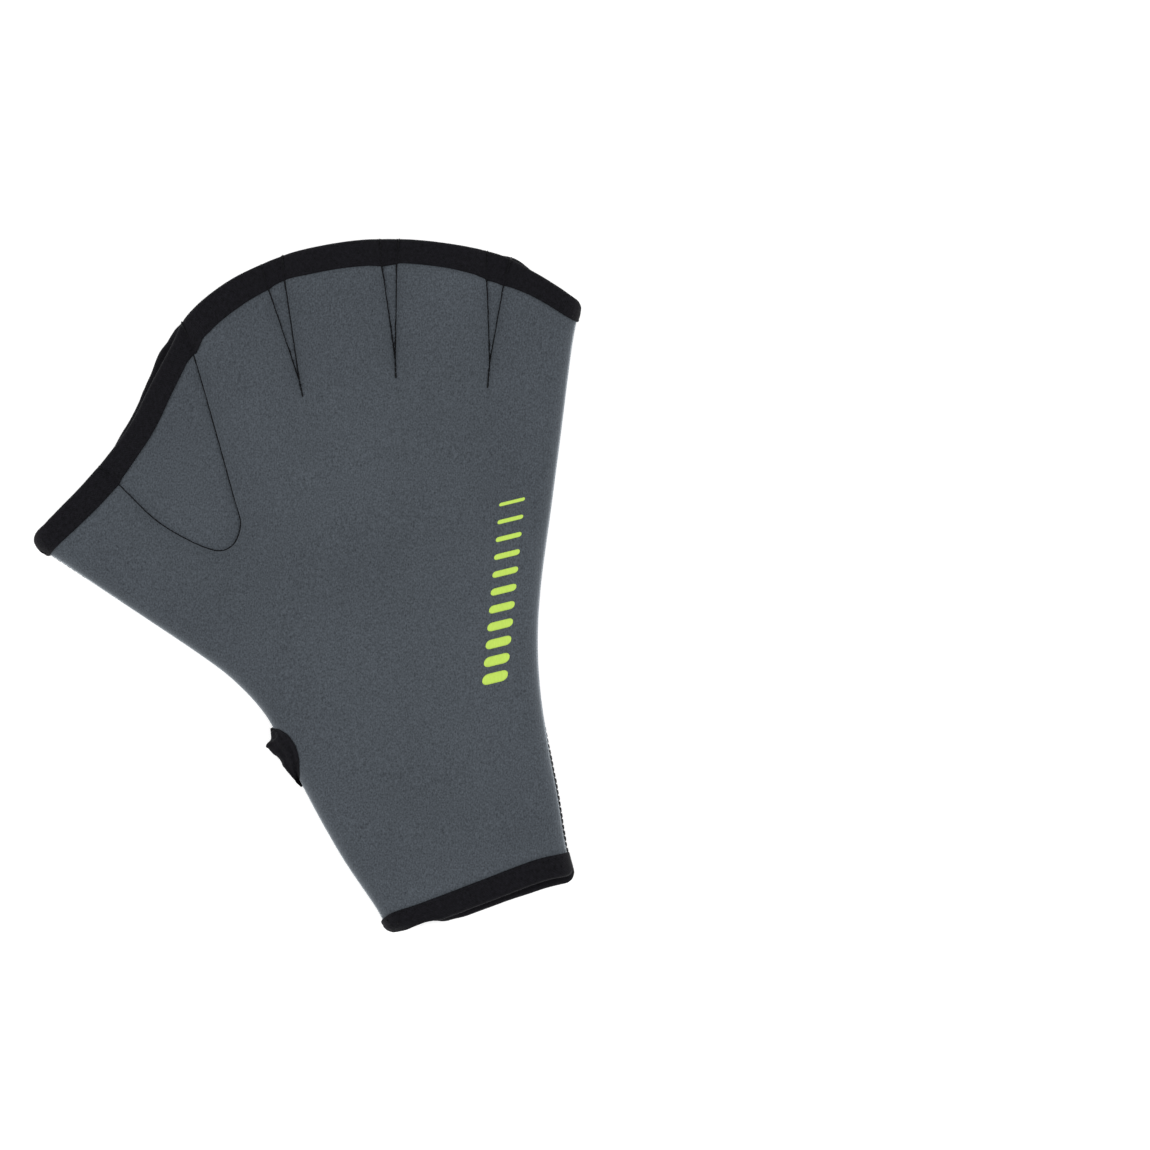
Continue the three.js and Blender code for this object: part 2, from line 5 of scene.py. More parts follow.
import bpy
import numpy as np
from bpy.props import FloatProperty, FloatVectorProperty, IntProperty, PointerProperty
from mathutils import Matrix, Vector, noise
from mathutils.bvhtree import BVHTree
from mathutils.geometry import delaunay_2d_cdt
from mathutils.kdtree import KDTree


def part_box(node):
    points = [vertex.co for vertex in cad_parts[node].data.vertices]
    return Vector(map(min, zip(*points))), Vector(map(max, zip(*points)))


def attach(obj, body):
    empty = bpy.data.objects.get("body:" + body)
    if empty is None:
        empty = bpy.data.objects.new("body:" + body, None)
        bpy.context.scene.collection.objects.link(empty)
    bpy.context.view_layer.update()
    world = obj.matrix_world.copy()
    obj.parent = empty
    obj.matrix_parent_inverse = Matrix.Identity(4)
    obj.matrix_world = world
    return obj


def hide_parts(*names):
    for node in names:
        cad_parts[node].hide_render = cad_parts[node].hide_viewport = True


bl_info = {
    "name": "Webbed Swim Glove",
    "version": (1, 0, 0),
    "blender": (4, 5, 0),
    "location": "3D View > Sidebar > Swim Glove",
    "description": "Makes the cloth, tape, thread and print of a webbed swim glove round its packed frame",
    "category": "Object",
}

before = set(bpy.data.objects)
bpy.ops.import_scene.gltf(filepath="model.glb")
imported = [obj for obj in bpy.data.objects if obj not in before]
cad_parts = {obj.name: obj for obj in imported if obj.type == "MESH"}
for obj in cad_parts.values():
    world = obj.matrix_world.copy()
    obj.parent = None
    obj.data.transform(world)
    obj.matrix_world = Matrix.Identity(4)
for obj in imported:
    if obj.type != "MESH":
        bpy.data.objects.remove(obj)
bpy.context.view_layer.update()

# Lengths in this file are millimetres, and meshes are made in metres
MM = 0.001
node_boxes = np.array([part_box(name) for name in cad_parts]) / MM
CORNER = node_boxes[:, 0, :2].min(0)
WIDTH, LENGTH = node_boxes[:, 1, :2].max(0) - CORNER

# Sizes of the glove, the same as in its CAD source
WALL = 2.0
PALM_SPACE = 9.0
FINGER_SPACE = 7.6
TAPE_BUILD = 0.9
TAPE_PRESS = 0.4
TAPE_WIDTH = 8.2
SEAM_BUILD = 0.9
SIDE_ROUND = 6.0
SEAM_RISE = 14.0
FOLD_GAP = 0.15
PALM_HALF_SPACE = 0.35 * PALM_SPACE
FOLD_HEIGHT = WALL + FOLD_GAP + PALM_HALF_SPACE
TAPE_LIFT = TAPE_BUILD - TAPE_PRESS
THUMB_WEB_OVERHANG = 2.0
RING_WEB_OVERHANG = 1.0
WRIST_OVERHANG = 2.8
VENT_LENGTH = 23.8
VENT_INWARD = 4.4
VENT_OUTWARD = 4.0
VENT_SLOT_HEIGHT = 4.6
PALM_RADIUS = 115.0
FINGER_WEB_FILL = 0.25
THUMB_WEB_FILL = 0.3
DORSAL, PALM = 1, -1

# Outlines seen from above: shares of the width from the thumb tip and of the length from the wrist, clockwise
FINGER_EDGE = [
    (0, 0.574), (0.053, 0.614), (0.102, 0.655), (0.172, 0.726), (0.214, 0.79), (0.252, 0.848),
    (0.272, 0.882), (0.319, 0.918), (0.387, 0.952), (0.487, 0.983), (0.648, 1), (0.827, 0.983),
    (0.914, 0.952), (1, 0.909),
]
LITTLE_FINGER_SIDE = [
    (1, 0.906), (0.985, 0.848), (0.965, 0.724), (0.947, 0.615), (0.928, 0.502), (0.922, 0.421),
    (0.927, 0.346), (0.942, 0.266), (0.958, 0.199), (0.974, 0.121), (0.987, 0.082),
]
WRIST_EDGE = [(0.987, 0.082), (0.932, 0.074), (0.834, 0.045), (0.73, 0.014), (0.666, 0)]
THUMB_SIDE = [
    (0.666, 0), (0.646, 0.004), (0.624, 0.034), (0.569, 0.098), (0.526, 0.156), (0.491, 0.208),
    (0.462, 0.251), (0.425, 0.309), (0.37, 0.358), (0.305, 0.398), (0.173, 0.468), (0.042, 0.537),
    (0.007, 0.556), (0, 0.574),
]

# Web seams between fingers: shares of the finger edge where its two lines start, and where they meet
FINGER_WEBS = [
    (0.515, 0.548, (0.487, 0.792)),
    (0.689, 0.7165, (0.661, 0.822)),
    (0.844, 0.879, (0.833, 0.82)),
]
WEB_TAILS = [4.3, 4.9, 7.9]

# The seam round the web between thumb and index finger, from the index end to the thumb end
THUMB_WEB_ENDS = (0.136, 0.3735)
THUMB_WEB_SEAM = [
    (0.291, 0.838), (0.316, 0.771), (0.341, 0.701), (0.368, 0.623), (0.379, 0.588), (0.363, 0.557),
    (0.323, 0.552), (0.232, 0.589), (0.156, 0.646),
]

# Where the palm panel reaches past the dorsal one: share of the edge, share of the overhang
THUMB_WEB_REACH = [
    (0.15, 0), (0.2, 0.7), (0.24, 0.75), (0.28, 1.1), (0.32, 1.6), (0.345, 1.1), (0.38, 0),
]
RING_WEB_REACH = [(0.86, 0), (0.89, 1.2), (0.93, 0)]
WRIST_REACH = [
    (-0.02, 0), (0.04, 1.05), (0.12, 1.15), (0.22, 1.13), (0.42, 0.93), (0.62, 0.88), (0.72, 0.62),
    (0.78, 0.4), (0.84, 0),
]

# How much wider than its named width the tape lies on the cloth: share of the edge, extra millimetres
FINGER_TAPE_WIDER = [
    (0, 0.9), (0.08, 1.3), (0.136, 1.6), (0.146, 1.0), (0.19, 0.4), (0.27, 0.3), (0.345, -0.1),
    (0.373, 1.3), (0.42, 2.1), (0.47, 1.9), (0.517, 1.1), (0.53, 0.5), (0.55, 0.3), (0.58, 0.9),
    (0.67, 1.2), (0.69, 1.6), (0.705, 1.2), (0.722, 0.4), (0.79, 0.5), (0.825, 1.0), (0.847, 1.9),
    (0.877, 1.5), (0.9, 0.4), (0.92, -0.2), (0.95, -0.7), (1, -1.0),
]
WRIST_TAPE_WIDER = [(0, 0), (0.78, 0), (0.9, -0.5), (1, -1.3)]

# Vent sections: share of its length toward the fingers, shares of its outward and inward depth
VENT_CENTRE = 0.379
VENT_SECTIONS = [
    (-0.5, 0.02, -0.02), (-0.42, 0.18, 0.1), (-0.33, 0.28, 0.32), (-0.225, 0.48, 0.53), (-0.1, 0.6, 0.78),
    (0.05, 0.64, 0.97), (0.12, 0.86, 1), (0.2, 1, 0.97), (0.25, 1.05, 0.94), (0.3, 1.15, 0.88),
    (0.325, 0.88, 0.83), (0.345, 0.5, 0.78), (0.41, 0.3, 0.64), (0.465, 0.18, 0.43), (0.505, 0.12, 0.02),
]

# The cloth's folded sides: how far they stand out over the seam and roll under, each from its own depth
SIDE_BULGE, SIDE_BULGE_DEPTH = 0.7, 4.5
SIDE_ROLL, SIDE_ROLL_DEPTH = 0.7, 3.0

# Corner radii where each opening's tape meets a side, clockwise
FINGER_CORNERS = (2.2, 1.6)
WRIST_CORNERS = (1.6, 2.4)

# Where the side seams show past the cloth: share of the side, share of the seam that shows
LITTLE_SEAM_SHOWN = [(0, 0), (0.68, 0), (0.78, 0.9), (1, 1)]
THUMB_SEAM_SHOWN = [(0, 0), (0.72, 0), (0.86, 0.5), (1, 0.6)]


def smooth(value):
    held = np.clip(value, 0, 1)
    return held * held * (3 - 2 * held)


def round_rise(value):
    return np.sqrt(1 - (1 - np.clip(value, 0, 1)) ** 2)


def mixed(low, high, share):
    return low + (high - low) * share


def unit(vectors):
    return vectors / np.maximum(np.linalg.norm(vectors, axis=-1, keepdims=True), 1e-9)


def right_of(direction):
    return np.stack([direction[..., 1], -direction[..., 0]], axis=-1)


def placed(shares):
    return CORNER + np.asarray(shares, float) * [WIDTH, LENGTH]


def curve_through(points, steps=40):
    """A Catmull-Rom curve through points of any dimension, with the same number of steps in each stretch."""
    points = np.asarray(points, float)
    padded = np.vstack([points[:1], points, points[-1:]])
    t = np.linspace(0, 1, steps, endpoint=False)[:, None]
    stretches = []
    for before, start, end, after in zip(padded, padded[1:], padded[2:], padded[3:]):
        leave = (end - before) / 2
        arrive = (after - start) / 2
        cubic = (2 * start - 2 * end + leave + arrive) * t ** 3
        square = (-3 * start + 3 * end - 2 * leave - arrive) * t ** 2
        stretches.append(cubic + square + leave * t + start)
    return np.vstack([*stretches, points[-1:]])


class Route:
    """A line seen from above that knows its length, its points by distance and the nearest place on it."""

    def __init__(self, points):
        self.points = np.asarray(points, float)
        self.edges = np.diff(self.points, axis=0)
        self.lengths = np.linalg.norm(self.edges, axis=1)
        self.reach = np.r_[0, np.cumsum(self.lengths)]
        self.length = self.reach[-1]

    @classmethod
    def through(cls, shares, spacing=1.5):
        return cls(curve_through(placed(shares))).spaced(spacing)

    def spaced(self, spacing):
        return Route(self.at(np.linspace(0, self.length, math.ceil(self.length / spacing) + 1)))

    def at(self, distance):
        return np.stack([np.interp(distance, self.reach, column) for column in self.points.T], axis=-1)

    def direction(self, distance, step=1.0):
        distance = np.asarray(distance, float)
        return unit(self.at(distance + step) - self.at(distance - step))

    def nearest(self, points):
        """Distance to the line, and the distance along it of the nearest place, for each point."""
        gaps = []
        places = []
        for part in np.array_split(points, max(1, len(points) // 3000)):
            offset = part[:, None] - self.points[:-1]
            share = np.clip((offset * self.edges).sum(2) / self.lengths ** 2, 0, 1)
            gap = offset - share[..., None] * self.edges
            distance = np.hypot(gap[..., 0], gap[..., 1])
            best = distance.argmin(1)
            rows = np.arange(len(part))
            gaps.append(distance[rows, best])
            places.append(self.reach[best] + share[rows, best] * self.lengths[best])
        return np.concatenate(gaps), np.concatenate(places)

    def offset(self, amount, extra=6.0):
        """Moved to its right by an amount for each share of its length, with straight ends added."""
        sides = right_of(self.direction(self.reach))
        moved = self.points + sides * amount(self.reach / self.length)[:, None]
        first = moved[0] - unit(moved[1] - moved[0]) * extra
        last = moved[-1] + unit(moved[-1] - moved[-2]) * extra
        return Route(np.vstack([first, moved, last]))

    def crossing(self, other, which=0):
        """Distances along this line and the other where they cross."""
        gap = other.points[None, :-1] - self.points[:-1, None]
        here_edge = self.edges[:, None]
        there_edge = other.edges[None]
        turn = here_edge[..., 0] * there_edge[..., 1] - here_edge[..., 1] * there_edge[..., 0]
        turn = np.where(np.abs(turn) < 1e-9, np.inf, turn)
        here = (gap[..., 0] * there_edge[..., 1] - gap[..., 1] * there_edge[..., 0]) / turn
        there = (gap[..., 0] * here_edge[..., 1] - gap[..., 1] * here_edge[..., 0]) / turn
        met = (here >= 0) & (here < 1) & (there >= 0) & (there < 1) & np.isfinite(turn)
        i, j = [found[which] for found in np.nonzero(met)]
        return self.reach[i] + here[i, j] * self.lengths[i], other.reach[j] + there[i, j] * other.lengths[j]

    def between(self, start, end, spacing):
        count = max(2, round((end - start) / spacing) + 1)
        return self.at(np.linspace(start, end, count))


def constant(value):
    return lambda share: np.full_like(share, value)


def table_reach(table, share):
    """An overhang table's value, with smooth steps between its rows."""
    at, reach = np.array(table, float).T
    row = np.clip(np.searchsorted(at, share), 1, len(at) - 1)
    step = smooth((share - at[row - 1]) / (at[row] - at[row - 1]))
    inside = (share > at[0]) & (share < at[-1])
    return np.where(inside, mixed(reach[row - 1], reach[row], step), 0)


def contains(polygon, points):
    x, y = points.T
    inside = np.zeros(len(points), bool)
    for (ax, ay), (bx, by) in zip(polygon, np.roll(polygon, -1, axis=0)):
        if ay != by:
            inside ^= ((ay > y) != (by > y)) & (x < ax + (bx - ax) * (y - ay) / (by - ay))
    return inside


outer_finger = Route.through(FINGER_EDGE)
outer_little = Route.through(LITTLE_FINGER_SIDE)
outer_wrist = Route.through(WRIST_EDGE)
outer_thumb = Route.through(THUMB_SIDE)
little = outer_little.offset(constant(SEAM_BUILD))
thumb = outer_thumb.offset(constant(SEAM_BUILD))


def on_finger_edge(share):
    return outer_finger.at(share * outer_finger.length)


web_lines = [
    (share, Route([on_finger_edge(share), placed(point)]))
    for first, second, point in FINGER_WEBS
    for share in (first, second)
]
thumb_web = Route(curve_through([
    on_finger_edge(THUMB_WEB_ENDS[1]), *placed(THUMB_WEB_SEAM), on_finger_edge(THUMB_WEB_ENDS[0]),
])).spaced(1.5)
seam_lines = [*[line for _, line in web_lines], thumb_web]
web_triangles = [
    np.array([on_finger_edge(first), on_finger_edge(second), placed(point)])
    for first, second, point in FINGER_WEBS
]
thumb_web_area = np.vstack([
    thumb_web.points,
    outer_finger.between(*[end * outer_finger.length for end in THUMB_WEB_ENDS], 1.5),
])


def tape_width(wider, share):
    return TAPE_WIDTH + np.interp(share, *np.array(wider, float).T)


def heights(points, side):
    """Heights above the fold of a panel's inside and outside face, and the height that both are taken from."""
    to_side = np.minimum(little.nearest(points)[0], thumb.nearest(points)[0])
    to_finger, finger_place = outer_finger.nearest(points)
    to_wrist, wrist_place = outer_wrist.nearest(points)
    to_seam = np.min([line.nearest(points)[0] for line in seam_lines], axis=0)
    past = np.minimum(
        to_finger - tape_width(FINGER_TAPE_WIDER, finger_place / outer_finger.length),
        to_wrist - tape_width(WRIST_TAPE_WIDER, wrist_place / outer_wrist.length),
    )
    under_tape = 1 - smooth((past - 0.3) / 1.4)
    near_tape = 1 - smooth((past - 0.5) / 6)
    fill = np.ones(len(points))
    for triangle in web_triangles:
        fill[contains(triangle, points)] = FINGER_WEB_FILL
    fill[contains(thumb_web_area, points)] = THUMB_WEB_FILL
    rise = fill * round_rise(to_seam / SEAM_RISE)
    palm_centre = placed((0.706, 0.421))
    fullness = smooth(1.4 * (1 - np.linalg.norm(points - palm_centre, axis=1) / PALM_RADIUS))
    space = mixed(FINGER_SPACE, PALM_SPACE, fullness)
    half_space = PALM_HALF_SPACE if side == PALM else space - PALM_HALF_SPACE
    least = FOLD_GAP + TAPE_BUILD * near_tape
    side_rise = round_rise(to_side / SIDE_ROUND)
    bulge = (half_space - TAPE_BUILD * near_tape) * rise
    wall = WALL - TAPE_PRESS * under_tape
    inside = least + bulge * side_rise
    outside = FOLD_GAP + (least - FOLD_GAP + bulge + wall) * side_rise
    return inside, outside, FOLD_HEIGHT + TAPE_LIFT * near_tape


def faces_of(points, side):
    """A panel's outside and inside points over places seen from above, and the way that its outside faces."""
    to_little, little_place = little.nearest(points)
    to_thumb, thumb_place = thumb.nearest(points)
    nearer = (to_little < to_thumb)[:, None]
    inward = np.where(
        nearer,
        right_of(little.direction(little_place)),
        right_of(thumb.direction(thumb_place)),
    )
    share = np.clip(np.minimum(to_little, to_thumb) / SIDE_ROUND, 0, 1)[:, None]
    inside, outside, middle = heights(points, side)
    lean = 1 - share
    lift = np.sqrt(1 - lean ** 2)
    outward = unit(np.hstack([-inward * lean, side * lift]))
    depth = share[:, 0] * SIDE_ROUND
    middle = middle - SIDE_ROLL * (1 - smooth(depth / SIDE_ROLL_DEPTH))
    moved = points - inward * SIDE_BULGE * (1 - smooth(share * SIDE_ROUND / SIDE_BULGE_DEPTH))
    return (
        np.column_stack([moved, middle + side * outside]),
        np.column_stack([moved + inward * WALL * (1 - share), middle + side * inside]),
        outward,
    )


# Share of the tape's width that its rounded edge takes up, where the cloth inside it ends
NOSE_SHARE = 0.12


def corner_retreat(distance, radius):
    """How far a rounded corner of a radius draws the edge back, at a distance from the side."""
    left = radius - np.minimum(distance, radius)
    return radius - np.sqrt(radius ** 2 - left ** 2)


class Opening:
    """One taped opening on one side of the glove: its cut edge, and rows that run square to it under the tape."""

    def __init__(self, outer, reach_of, before, after, corners, wider, keys=(), station=1.2):
        lead = 6.0
        edge = outer.offset(lambda share: TAPE_BUILD - reach_of(share), lead)
        start, self.before_place = edge.crossing(before)
        end, self.after_place = edge.crossing(after)
        self.before = before
        self.after = after
        inner = (edge.reach > start + 0.05) & (edge.reach < end - 0.05)
        self.cut = Route(np.vstack([edge.at(start), edge.points[inner], edge.at(end)]))
        places = [share * outer.length + lead - start for share, _ in keys]
        corner = np.array([0, 0.15, 0.35, 0.7, 1.2, 2.2, 3.2, 4.5, SIDE_ROUND])
        fixed = np.unique(np.round([*corner, *(self.cut.length - corner), *places], 3))
        steps = [np.linspace(a, b, max(1, round((b - a) / station)), endpoint=False)
                 for a, b in zip(fixed, fixed[1:])]
        self.distances = np.r_[np.concatenate(steps), self.cut.length]
        leans = [self.lean_at(place, line) for place, (_, line) in zip(places, keys)]
        self.marks = np.r_[0, places, self.cut.length]
        self.leans = np.r_[0, leans, 0]
        self.key_places = np.array(places)
        self.points = self.cut.at(self.distances)
        shares = (self.distances + start - lead) / outer.length
        self.width = tape_width(wider, shares) - TAPE_BUILD
        self.under = self.inward_points(self.width)
        self.middle = self.inward_points(self.width / 2)
        retreat = np.maximum(
            corner_retreat(self.distances, corners[0]),
            corner_retreat(self.cut.length - self.distances, corners[1]),
        )
        self.retreat = retreat / self.width
        self.edge = self.row(self.retreat + NOSE_SHARE)
        self.first_place = before.nearest(self.edge[:1])[1][0]
        self.last_place = after.nearest(self.edge[-1:])[1][0]

    def row(self, shares):
        """Places at shares of the tape's width, on each station's curve from its cut edge inward."""
        s = np.asarray(shares, float)[..., None]
        first, middle, last = [
            line[:, None] if s.ndim == 3 else line for line in (self.points, self.middle, self.under)
        ]
        return first * (1 - s) * (1 - 2 * s) + middle * 4 * s * (1 - s) + last * s * (2 * s - 1)

    def station_at(self, key):
        """The station where a web's seam crosses the tape."""
        return int(np.abs(self.distances - self.key_places[key]).argmin())

    def lean_at(self, place, line):
        """The angle from square to a web seam that crosses the tape here."""
        gap, along = line.nearest(self.cut.at(place)[None])
        inside = min((line.at(along[0] + step) for step in (TAPE_WIDTH, -TAPE_WIDTH)),
                     key=lambda point: -self.cut.nearest(point[None])[0][0])
        aim = inside - self.cut.at(place)
        square = right_of(self.cut.direction(place))
        turn = math.atan2(aim[1], aim[0]) - math.atan2(square[1], square[0])
        return math.atan2(math.sin(turn), math.cos(turn))

    def square(self, distances, reach):
        lean = np.interp(distances, self.marks, self.leans)
        side = right_of(self.cut.direction(distances))
        cos, sin = np.cos(lean), np.sin(lean)
        turned = np.stack([side[:, 0] * cos - side[:, 1] * sin, side[:, 0] * sin + side[:, 1] * cos], axis=1)
        return self.cut.at(distances) + turned * (reach / cos)[:, None]

    def beside_side(self, distance, reach):
        """Close to a corner a row keeps its distance from the side."""
        first = distance < self.cut.length / 2
        route = self.before if first else self.after
        depth = distance if first else self.cut.length - distance

        def stepped(step):
            along = self.before_place - step if first else self.after_place + step
            return route.at(along) + right_of(route.direction(along)) * depth

        near, far = 0.0, 3 * reach
        while far - near > 0.01:
            middle = (near + far) / 2
            if self.cut.nearest(stepped(middle)[None])[0][0] < reach:
                near = middle
            else:
                far = middle
        return stepped(far)

    def inward_points(self, reach):
        """A place for each station at its reach from the cut, beside the side near a corner."""
        straight = self.square(self.distances, reach)
        from_corner = np.minimum(self.distances, self.cut.length - self.distances)
        weight = smooth(1 - (from_corner - SIDE_ROUND) / 12)
        for i in np.nonzero(weight > 0)[0]:
            straight[i] = mixed(straight[i], self.beside_side(self.distances[i], reach[i]), weight[i])
        for _ in range(3):
            gap, place = self.cut.nearest(straight)
            straight = straight + unit(straight - self.cut.at(place)) * (reach - gap)[:, None]
        return straight


def finger_reach(share):
    return (THUMB_WEB_OVERHANG * table_reach(THUMB_WEB_REACH, share)
            + RING_WEB_OVERHANG * table_reach(RING_WEB_REACH, share))


def wrist_reach(share):
    return WRIST_OVERHANG * table_reach(WRIST_REACH, share)


web_keys = [(THUMB_WEB_ENDS[0], thumb_web), (THUMB_WEB_ENDS[1], thumb_web), *web_lines]
no_reach = constant(0.0)
finger_openings = {
    side: Opening(outer_finger, reach, thumb, little, FINGER_CORNERS, FINGER_TAPE_WIDER, web_keys)
    for side, reach in ((DORSAL, no_reach), (PALM, finger_reach))
}
wrist_openings = {
    side: Opening(outer_wrist, reach, little, thumb, WRIST_CORNERS, WRIST_TAPE_WIDER)
    for side, reach in ((DORSAL, no_reach), (PALM, wrist_reach))
}

vent_origin = outer_thumb.at(VENT_CENTRE * outer_thumb.length)
vent_along = outer_thumb.direction(VENT_CENTRE * outer_thumb.length)
vent_inward = right_of(vent_along)


def vent_line(depth_column, depth):
    rows = np.array(VENT_SECTIONS)
    along = rows[:, :1] * VENT_LENGTH * vent_along
    return curve_through(vent_origin + along + rows[:, depth_column:depth_column + 1] * depth * vent_inward, 8)


vent_inner = vent_line(2, VENT_INWARD)
vent_outer = vent_line(1, -VENT_OUTWARD)
vent_at = curve_through(np.array(VENT_SECTIONS)[:, :1], 8)[:, 0]


def signed_volume(vertices, polygons):
    corners = vertices[polygons]
    total = 0.0
    for k in range(1, polygons.shape[1] - 1):
        total += (corners[:, 0] * np.cross(corners[:, k], corners[:, k + 1])).sum()
    return total


def closed_piece(name, vertices, polygons, materials, uvs=None, material_of=None):
    """A smooth closed mesh object from millimetre points, turned so that its faces look out."""
    vertices = np.asarray(vertices, float)
    polygons = np.asarray(polygons)
    if signed_volume(vertices, polygons) < 0:
        polygons = polygons[:, ::-1]
        uvs = None if uvs is None else uvs[:, ::-1]
    mesh = bpy.data.meshes.new(name)
    mesh.from_pydata((vertices * MM).tolist(), [], polygons.tolist())
    mesh.polygons.foreach_set("use_smooth", np.ones(len(polygons), bool))
    for material in materials:
        mesh.materials.append(material)
    if material_of is not None:
        mesh.polygons.foreach_set("material_index", material_of)
    if uvs is not None:
        mesh.uv_layers.new(name="UVMap").data.foreach_set("uv", (uvs * MM).astype(np.float32).ravel())
    mesh.update()
    piece = bpy.data.objects.new(name, mesh)
    bpy.context.scene.collection.objects.link(piece)
    return piece


def rim_of(triangles, count):
    """The edges that only one triangle uses, each in that triangle's direction."""
    directed = np.vstack([triangles[:, [0, 1]], triangles[:, [1, 2]], triangles[:, [2, 0]]])
    keys = directed.min(1) * count + directed.max(1)
    _, first, uses = np.unique(keys, return_index=True, return_counts=True)
    return directed[first[uses == 1]]


def layered_piece(name, triangles, upper, lower, materials):
    """A closed skin between two surfaces that lie over the same triangles seen from above."""
    count = len(upper)
    a, b = rim_of(triangles, count).T
    walls = np.vstack([np.column_stack([b, a, a + count]), np.column_stack([b, a + count, b + count])])
    polygons = np.vstack([triangles, triangles[:, ::-1] + count, walls])
    material_of = np.zeros(len(polygons), int)
    material_of[len(triangles):2 * len(triangles)] = len(materials) - 1
    return closed_piece(name, np.vstack([upper, lower]), polygons, materials, material_of=material_of)


def capped_piece(name, sections, materials):
    """Bands between closed sections from one flat end to the other."""
    stations, corners = sections.shape[:2]
    i, k = [grid.ravel() for grid in np.meshgrid(np.arange(stations - 1), np.arange(corners), indexing="ij")]
    after_k = (k + 1) % corners
    a, b, c, d = i * corners + k, i * corners + after_k, (i + 1) * corners + after_k, (i + 1) * corners + k
    fan = np.array([(0, m + 1, m) for m in range(1, corners - 1)])
    far_fan = fan[:, ::-1] + (stations - 1) * corners
    triangles = np.vstack([np.column_stack([a, b, c]), np.column_stack([a, c, d]), fan, far_fan])
    return closed_piece(name, sections.reshape(-1, 3), triangles, materials)


def swept_piece(name, sections, along, around, materials):
    """Bands between closed sections that follow a closed loop, with a length-true UV map."""
    stations, corners = sections.shape[:2]
    i, k = [grid.ravel() for grid in np.meshgrid(np.arange(stations), np.arange(corners), indexing="ij")]
    after_i, after_k = (i + 1) % stations, (k + 1) % corners
    polygons = np.column_stack([
        i * corners + k, i * corners + after_k, after_i * corners + after_k, after_i * corners + k,
    ])
    uvs = np.stack([
        np.column_stack([along[i], around[k]]), np.column_stack([along[i], around[k + 1]]),
        np.column_stack([along[i + 1], around[k + 1]]), np.column_stack([along[i + 1], around[k]]),
    ], axis=1)
    return closed_piece(name, sections.reshape(-1, 3), polygons, materials, uvs)


def loop_lengths(points):
    closed = np.vstack([points, points[:1]])
    return np.r_[0, np.cumsum(np.linalg.norm(np.diff(closed, axis=0), axis=1))]


def kept_apart(groups):
    """Points of several groups in order, each kept only where it is a gap away from those kept before."""
    kept = groups[0][0]
    for points, gap in groups[1:]:
        tree = KDTree(len(kept))
        for index, point in enumerate(kept):
            tree.insert((*point, 0), index)
        tree.balance()
        clear = [tree.find((*point, 0))[2] >= gap for point in points]
        kept = np.vstack([kept, points[np.array(clear, bool)]])
    return kept


def triangles_inside(points, rim_count):
    """Delaunay triangles inside the closed line that the first points make."""
    rim = [(i, (i + 1) % rim_count) for i in range(rim_count)]
    found = delaunay_2d_cdt([Vector(point) for point in points], rim, [], 1, 1e-6)
    return np.array([tuple(point) for point in found[0]]), np.array(found[2])


def cloth_rim(side):
    """A panel's cut edge, clockwise: finger opening, little finger side, wrist and thumb side with its vent."""
    finger, wrist = finger_openings[side], wrist_openings[side]
    notch = Route(vent_inner)
    low_notch, low_thumb = notch.crossing(thumb)
    high_notch, high_thumb = notch.crossing(thumb, -1)
    step = 1.1
    return np.vstack([
        finger.edge,
        little.between(finger.last_place, wrist.first_place, step)[1:-1],
        wrist.edge,
        thumb.between(wrist.last_place, low_thumb, step)[1:],
        notch.between(low_notch, high_notch, step)[1:-1],
        thumb.between(high_thumb, finger.first_place, step)[:-1],
    ])


def cloth_plan(side, spacing=1.5):
    """Triangles of a panel seen from above, finer along its sides, its tape and its seams."""
    rim = cloth_rim(side)
    groups = [(rim, 0)]
    turns = np.radians(np.arange(12, 91, 11))
    for depth in SIDE_ROUND * (1 - np.cos(turns)):
        for route in (little, thumb):
            distances = np.arange(0, route.length, 1.1)
            row = route.at(distances) + right_of(route.direction(distances)) * depth
            groups.append((row[contains(rim, row)], 0.1 if depth < 1 else 0.4))
    for step in (0, 0.35, 0.9, 1.7):
        for line in seam_lines:
            distances = np.r_[np.arange(0, line.length, 1.1), line.length]
            beside = right_of(line.direction(distances)) * step
            row = np.vstack([line.at(distances) + beside, line.at(distances) - beside])
            groups.append((row[contains(rim, row)], 0.28))
    for opening in (finger_openings[side], wrist_openings[side]):
        for share in (0.97, 1.05, 1.12, 1.2, 1.3):
            row = opening.row(share)
            groups.append((row[contains(rim, row)], 0.35))
    low, high = rim.min(0), rim.max(0)
    ys = np.arange(low[1], high[1], spacing * math.sqrt(0.75))
    grid = np.vstack([
        np.column_stack([np.arange(low[0] + row % 2 * spacing / 2, high[0], spacing), np.full(
            len(np.arange(low[0] + row % 2 * spacing / 2, high[0], spacing)), y)])
        for row, y in enumerate(ys)
    ])
    groups.append((grid[contains(rim, grid)], spacing * 0.55))
    return triangles_inside(kept_apart(groups), len(rim))


# Shares of the tape's width from its folded edge where its two rows of stitches run
STITCH_ROWS = (0.4, 0.82)
# Least height of a thread's centre, so that no stitch sinks into the floor
THREAD_CLEARANCE = 0.36
TAPE_SHARES = np.r_[np.linspace(0, 0.86, 15), 0.9, 0.935, 0.96, 0.98, 1.0]
TAPE_END = 1.02


def tape_build(share):
    """How thick the tape lies over the cloth, with a groove along each row of stitches."""
    body = 0.8 * round_rise((1.03 - share) / 0.09)
    grooves = sum(np.exp(-((share - row) / 0.05) ** 2) for row in STITCH_ROWS)
    return body - 0.14 * grooves


